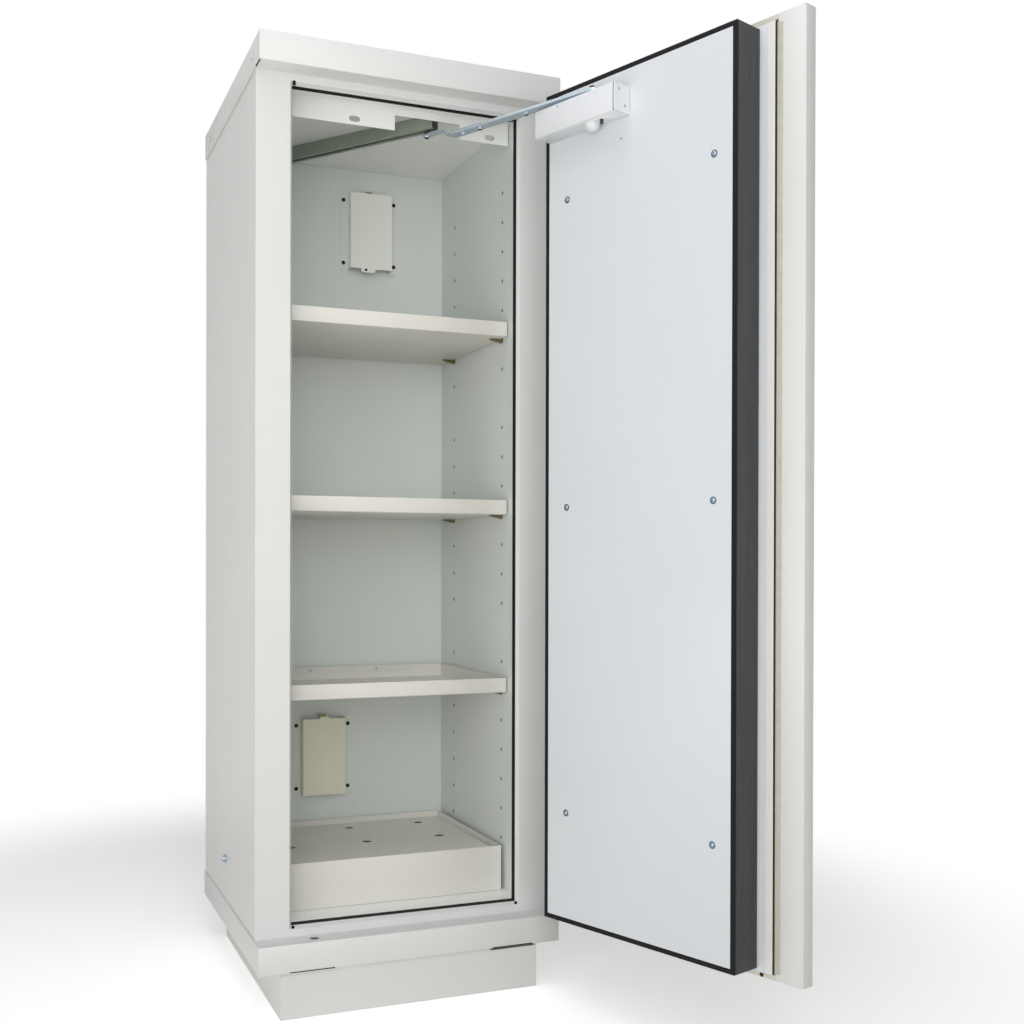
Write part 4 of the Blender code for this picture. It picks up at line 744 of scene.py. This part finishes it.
def foil_wrap():
    """Foil round the core: the outline of the core, with round corners, carried up its height.

    It is drawn in by narrow upright grooves that wander slowly with the height, by creases on lines that
    fan out from the foot, and by broad hollows. Near its two ends it is not drawn in.
    """
    low = np.array([0.0693, 0.0268, 0.1666])
    high = np.array([0.5116, 0.0861, 1.7232])
    turn = 0.0028
    quarter = np.linspace(0, np.pi / 2, 5)
    sides = []
    for number, (cu, cv) in enumerate(((1, 1), (0, 1), (0, 0), (1, 0))):
        centre_u = high[0] - turn if cu else low[0] + turn
        centre_v = high[1] - turn if cv else low[1] + turn
        angle = quarter + number * np.pi / 2
        sides.append(np.stack([centre_u + turn * np.cos(angle), centre_v + turn * np.sin(angle)], axis=-1))
        share = np.linspace(0, 1, 46 if number % 2 else 14)[1:-1, None]
        first = sides[-1][-1]
        if number < 3:
            next_angle = (number + 1) * np.pi / 2
            next_centre = ((low[0] + turn, high[1] - turn), (low[0] + turn, low[1] + turn),
                           (high[0] - turn, low[1] + turn))[number]
            last = np.array(next_centre) + turn * np.array([np.cos(next_angle), np.sin(next_angle)])
        else:
            last = sides[0][0]
        sides.append(first + share * (last - first))
    ring = np.concatenate(sides)
    z = np.concatenate([[low[2], low[2] + 0.002], np.linspace(low[2] + 0.004, low[2] + 0.150, 110),
                        np.linspace(low[2] + 0.157, high[2] - 0.006, 180), [high[2] - 0.002, high[2]]])
    depth = (ring[None, :, 1] - low[1]) / (high[1] - low[1])
    height = z[:, None] - low[2]
    grooves = np.zeros((len(z), len(ring)))
    for place, wide, deep, sway, phase in ((0.20, 0.020, 0.6, 0.020, 0.3), (0.36, 0.012, 0.4, 0.03, 1.9),
                                           (0.55, 0.025, 0.7, 0.015, 3.1), (0.71, 0.012, 0.5, 0.022, 4.4),
                                           (0.86, 0.016, 0.5, 0.012, 5.2)):
        centre = place + sway * np.sin(2.3 * height + phase) + 0.3 * sway * np.sin(9.7 * height + 2 * phase)
        fade = 0.55 + 0.45 * np.sin(4.1 * height + 3 * phase)
        grooves += deep * fade * np.exp(-((depth - centre) / wide) ** 2)
    for slope, start, deep in ((0.9, 0.004, 1.9), (1.6, 0.008, 2.0), (2.6, 0.012, 2.0), (4.2, 0.018, 1.8),
                               (7.0, 0.03, 1.5)):
        across = (1 - depth) * (high[1] - low[1])
        away = np.abs(height - start - slope * across) / np.sqrt(1 + slope ** 2)
        grooves += deep * np.exp(-(away / 0.0018) ** 2) * np.exp(-(height / 0.16) ** 2)
    hollows = 0.35 * (1 + np.sin(6.0 * height + 5.0 * depth)) * np.sin(np.pi * np.clip(depth, 0, 1)) ** 2
    upright = np.minimum(np.abs(ring[:, 0] - low[0]), np.abs(ring[:, 0] - high[0])) < 0.0005
    ends = np.clip(np.minimum(height, height[-1] - height) / 0.012, 0, 1)
    drawn_in = 0.001 * (grooves + hollows) * ends * upright[None]
    middle = (low[0] + high[0]) / 2
    u = ring[None, :, 0] - np.sign(ring[None, :, 0] - middle) * drawn_in
    v = np.broadcast_to(ring[None, :, 1], u.shape)
    return on_door(np.stack([u, v, np.broadcast_to(z[:, None], u.shape)], axis=-1))[None]


foil = graphite_foil("graphite_foil")
wrap = skin("door_core_foil", foil_wrap(), foil, "door", angle=50)
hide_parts("door_core")
band_black = seal_rubber("band_tape_purple_black", "0A080B", "151217")
finish_nodes(band_black, "door_seal_band")


# Tray lips: at head and foot the tray's flange is turned back along the board. They take a cream copy of
# the grey shell coat, whose cream is a painted warm bounce on the shaded flange. The lower lip has a drain
# hole near the free edge, drawn as a dark disc of painted shade.
lip_coat_painted_bounce = powder_coat("flange_coat_painted_warm_bounce", "DDDACC", "D3D0C1")
lip_middle_u = 0.285
lip_length = 0.510
lip_v = 0.0136
lip_places = on_door([(lip_middle_u, lip_v, 1.7403), (lip_middle_u, lip_v, 0.1528)])
tray_lips = plates(lip_places, outward, upward, lip_length, 0.0085, 0.0010, 0.0008, sink=0.0004)
skin("tray_lips", tray_lips, lip_coat_painted_bounce, "door")
drain_place = on_door([(0.511, 0.0144, 0.1527)])
drain = turned(drain_place, inward, [0, 0.0040, 0.0042], [0.0003, 0.0003, -0.0002], 24)
skin("tray_drain_hole_shade", drain, shade_and_bolt_brown, "door")


# Lock: a black moulded case in the tray drives one round zinc-plated rod down to the foot. A black lever
# on a plate and a key barrel are fixed to the outside.
def moulded_plastic(name, colour, shade, rough=0.4):
    """Moulded polyamide: dark, satin, with a fine spark-eroded grain of about 1 mm."""
    made, tree = new_material(name)
    place = add_node(tree, "ShaderNodeTexCoord").outputs["Object"]
    grain = noise(tree, place, 1.2, 2.0)
    patch = noise(tree, place, 25.0, 2.0)
    mix = add_node(tree, "ShaderNodeMix", {0: patch.outputs["Fac"], 6: linear(colour), 7: linear(shade)},
                   data_type="RGBA")
    bump = add_node(tree, "ShaderNodeBump", {"Height": grain.outputs["Fac"], "Distance": 0.00005})
    shader = add_node(tree, "ShaderNodeBsdfPrincipled",
                      {"Base Color": mix.outputs[2], "Roughness": rough, "Normal": bump.outputs["Normal"]})
    add_node(tree, "ShaderNodeOutputMaterial", {"Surface": shader.outputs[0]})
    return made


black_plastic = moulded_plastic("moulded_black_plastic", "26272A", "303135")
for name in ("lock_case", "handle_plate", "handle_lever"):
    smooth_copy(name, black_plastic)
for name in ("lock_rod", "key_plug"):
    smooth_copy(name, zinc)


# Closer: a white housing on the door's face board, with a screwed cap on its free end, a small screw near
# its upper edge and a valve in its underside. A zinc-plated arm with a hex bolt on the spindle and dark
# stud caps below leads to the block that slides in the rail under the ceiling.
housing_paint = powder_coat("painted_casting_white", "E6E8EC", "DFE2E7", gloss=0.32)
smooth_copy("closer_body", housing_paint)
closer_end_u = 0.2775
closer_middle_v = 0.1100
closer_middle_z = 1.6562
cap_joint_width = 0.0007
cap_face_u = closer_end_u + 0.0029
# The dark plate in the groove between housing and cap is painted shade; it stands out past the cap at its
# front edge only.
end_joint_place = on_door([(closer_end_u, closer_middle_v + 0.0003, closer_middle_z)])
end_joint = plates(end_joint_place, -inward, upward, 0.0406, 0.0490, 0.0010, 0.0006, edge=0.0001)
skin("closer_cap_joint_shade", end_joint, shade_and_bolt_brown, "door")
end_cap_place = on_door([(closer_end_u + cap_joint_width, closer_middle_v, closer_middle_z)])
end_cap = plates(end_cap_place, -inward, upward, 0.0402, 0.0498, 0.0032, 0.0022, edge=0.0008, sink=0.0)
skin("closer_end_cap", end_cap, housing_paint, "door")
cap_screw_places = on_door([(cap_face_u, 0.1185, 1.6705), (cap_face_u, 0.1030, 1.6440)])
skin("closer_cap_screws", cross_heads(cap_screw_places, outward, 0.0027, 0.0011, 0.0002), zinc, "door")
front_screw = cross_heads(on_door([(0.141, 0.1304, 1.6765)]), inward, 0.0022, 0.0008, 0.0002)
skin("closer_front_screw", front_screw, zinc, "door")
valve = turned(on_door([(0.2335, 0.112, 1.6310)]), (0, 0, -1), [0, 0.0022, 0.0030, 0.0034, 0.0034],
               [0.0085, 0.0085, 0.0075, 0.0008, -0.0003], 24)
skin("closer_valve", valve, black_plastic, "door")
arm_zinc = zinc_plate("zinc_plated_bar_light_blue", "C9D6E0", "B4C3CF", rough=0.38, metal=0.55)
for name in ("closer_spindle", "closer_arm", "closer_arm_end"):
    smooth_copy(name, arm_zinc)
spindle_u = 0.208
spindle_v = 0.110
eye_place = np.array([0.072, -0.391, 0.0])
bar_underside = 1.6870
end_bar_underside = 1.7030
arm_start = on_door([(spindle_u, spindle_v, 0.0)])[0]
arm_way = eye_place - arm_start
studs = [arm_start + share * arm_way + (0, 0, bar_underside) for share in (0.37, 0.65)]
studs.append(eye_place + (0, 0, end_bar_underside))
stud_caps = turned(studs, (0, 0, -1), [0, 0.0034, 0.0042, 0.0043], [0.0040, 0.0040, 0.0032, 0.0001])
skin("arm_stud_caps", stud_caps, black_screw, "closer_arm")
bolt_top = on_door([(spindle_u, spindle_v, 1.6948)])
bolt_ring = turned(bolt_top, (0, 0, 1), [0, 0.0046, 0.0052, 0.0052], [0.0034, 0.0034, 0.0028, -0.0006], 6)
skin("spindle_bolt", bolt_ring, shade_and_bolt_brown, "closer_arm", angle=20)
rail_zinc = zinc_plate("dull_rail_steel", "A3AAA0", "969D93", rough=0.5, metal=0.4)
finish_nodes(rail_zinc, "closer_rail")
smooth_copy("closer_slider", black_plastic)
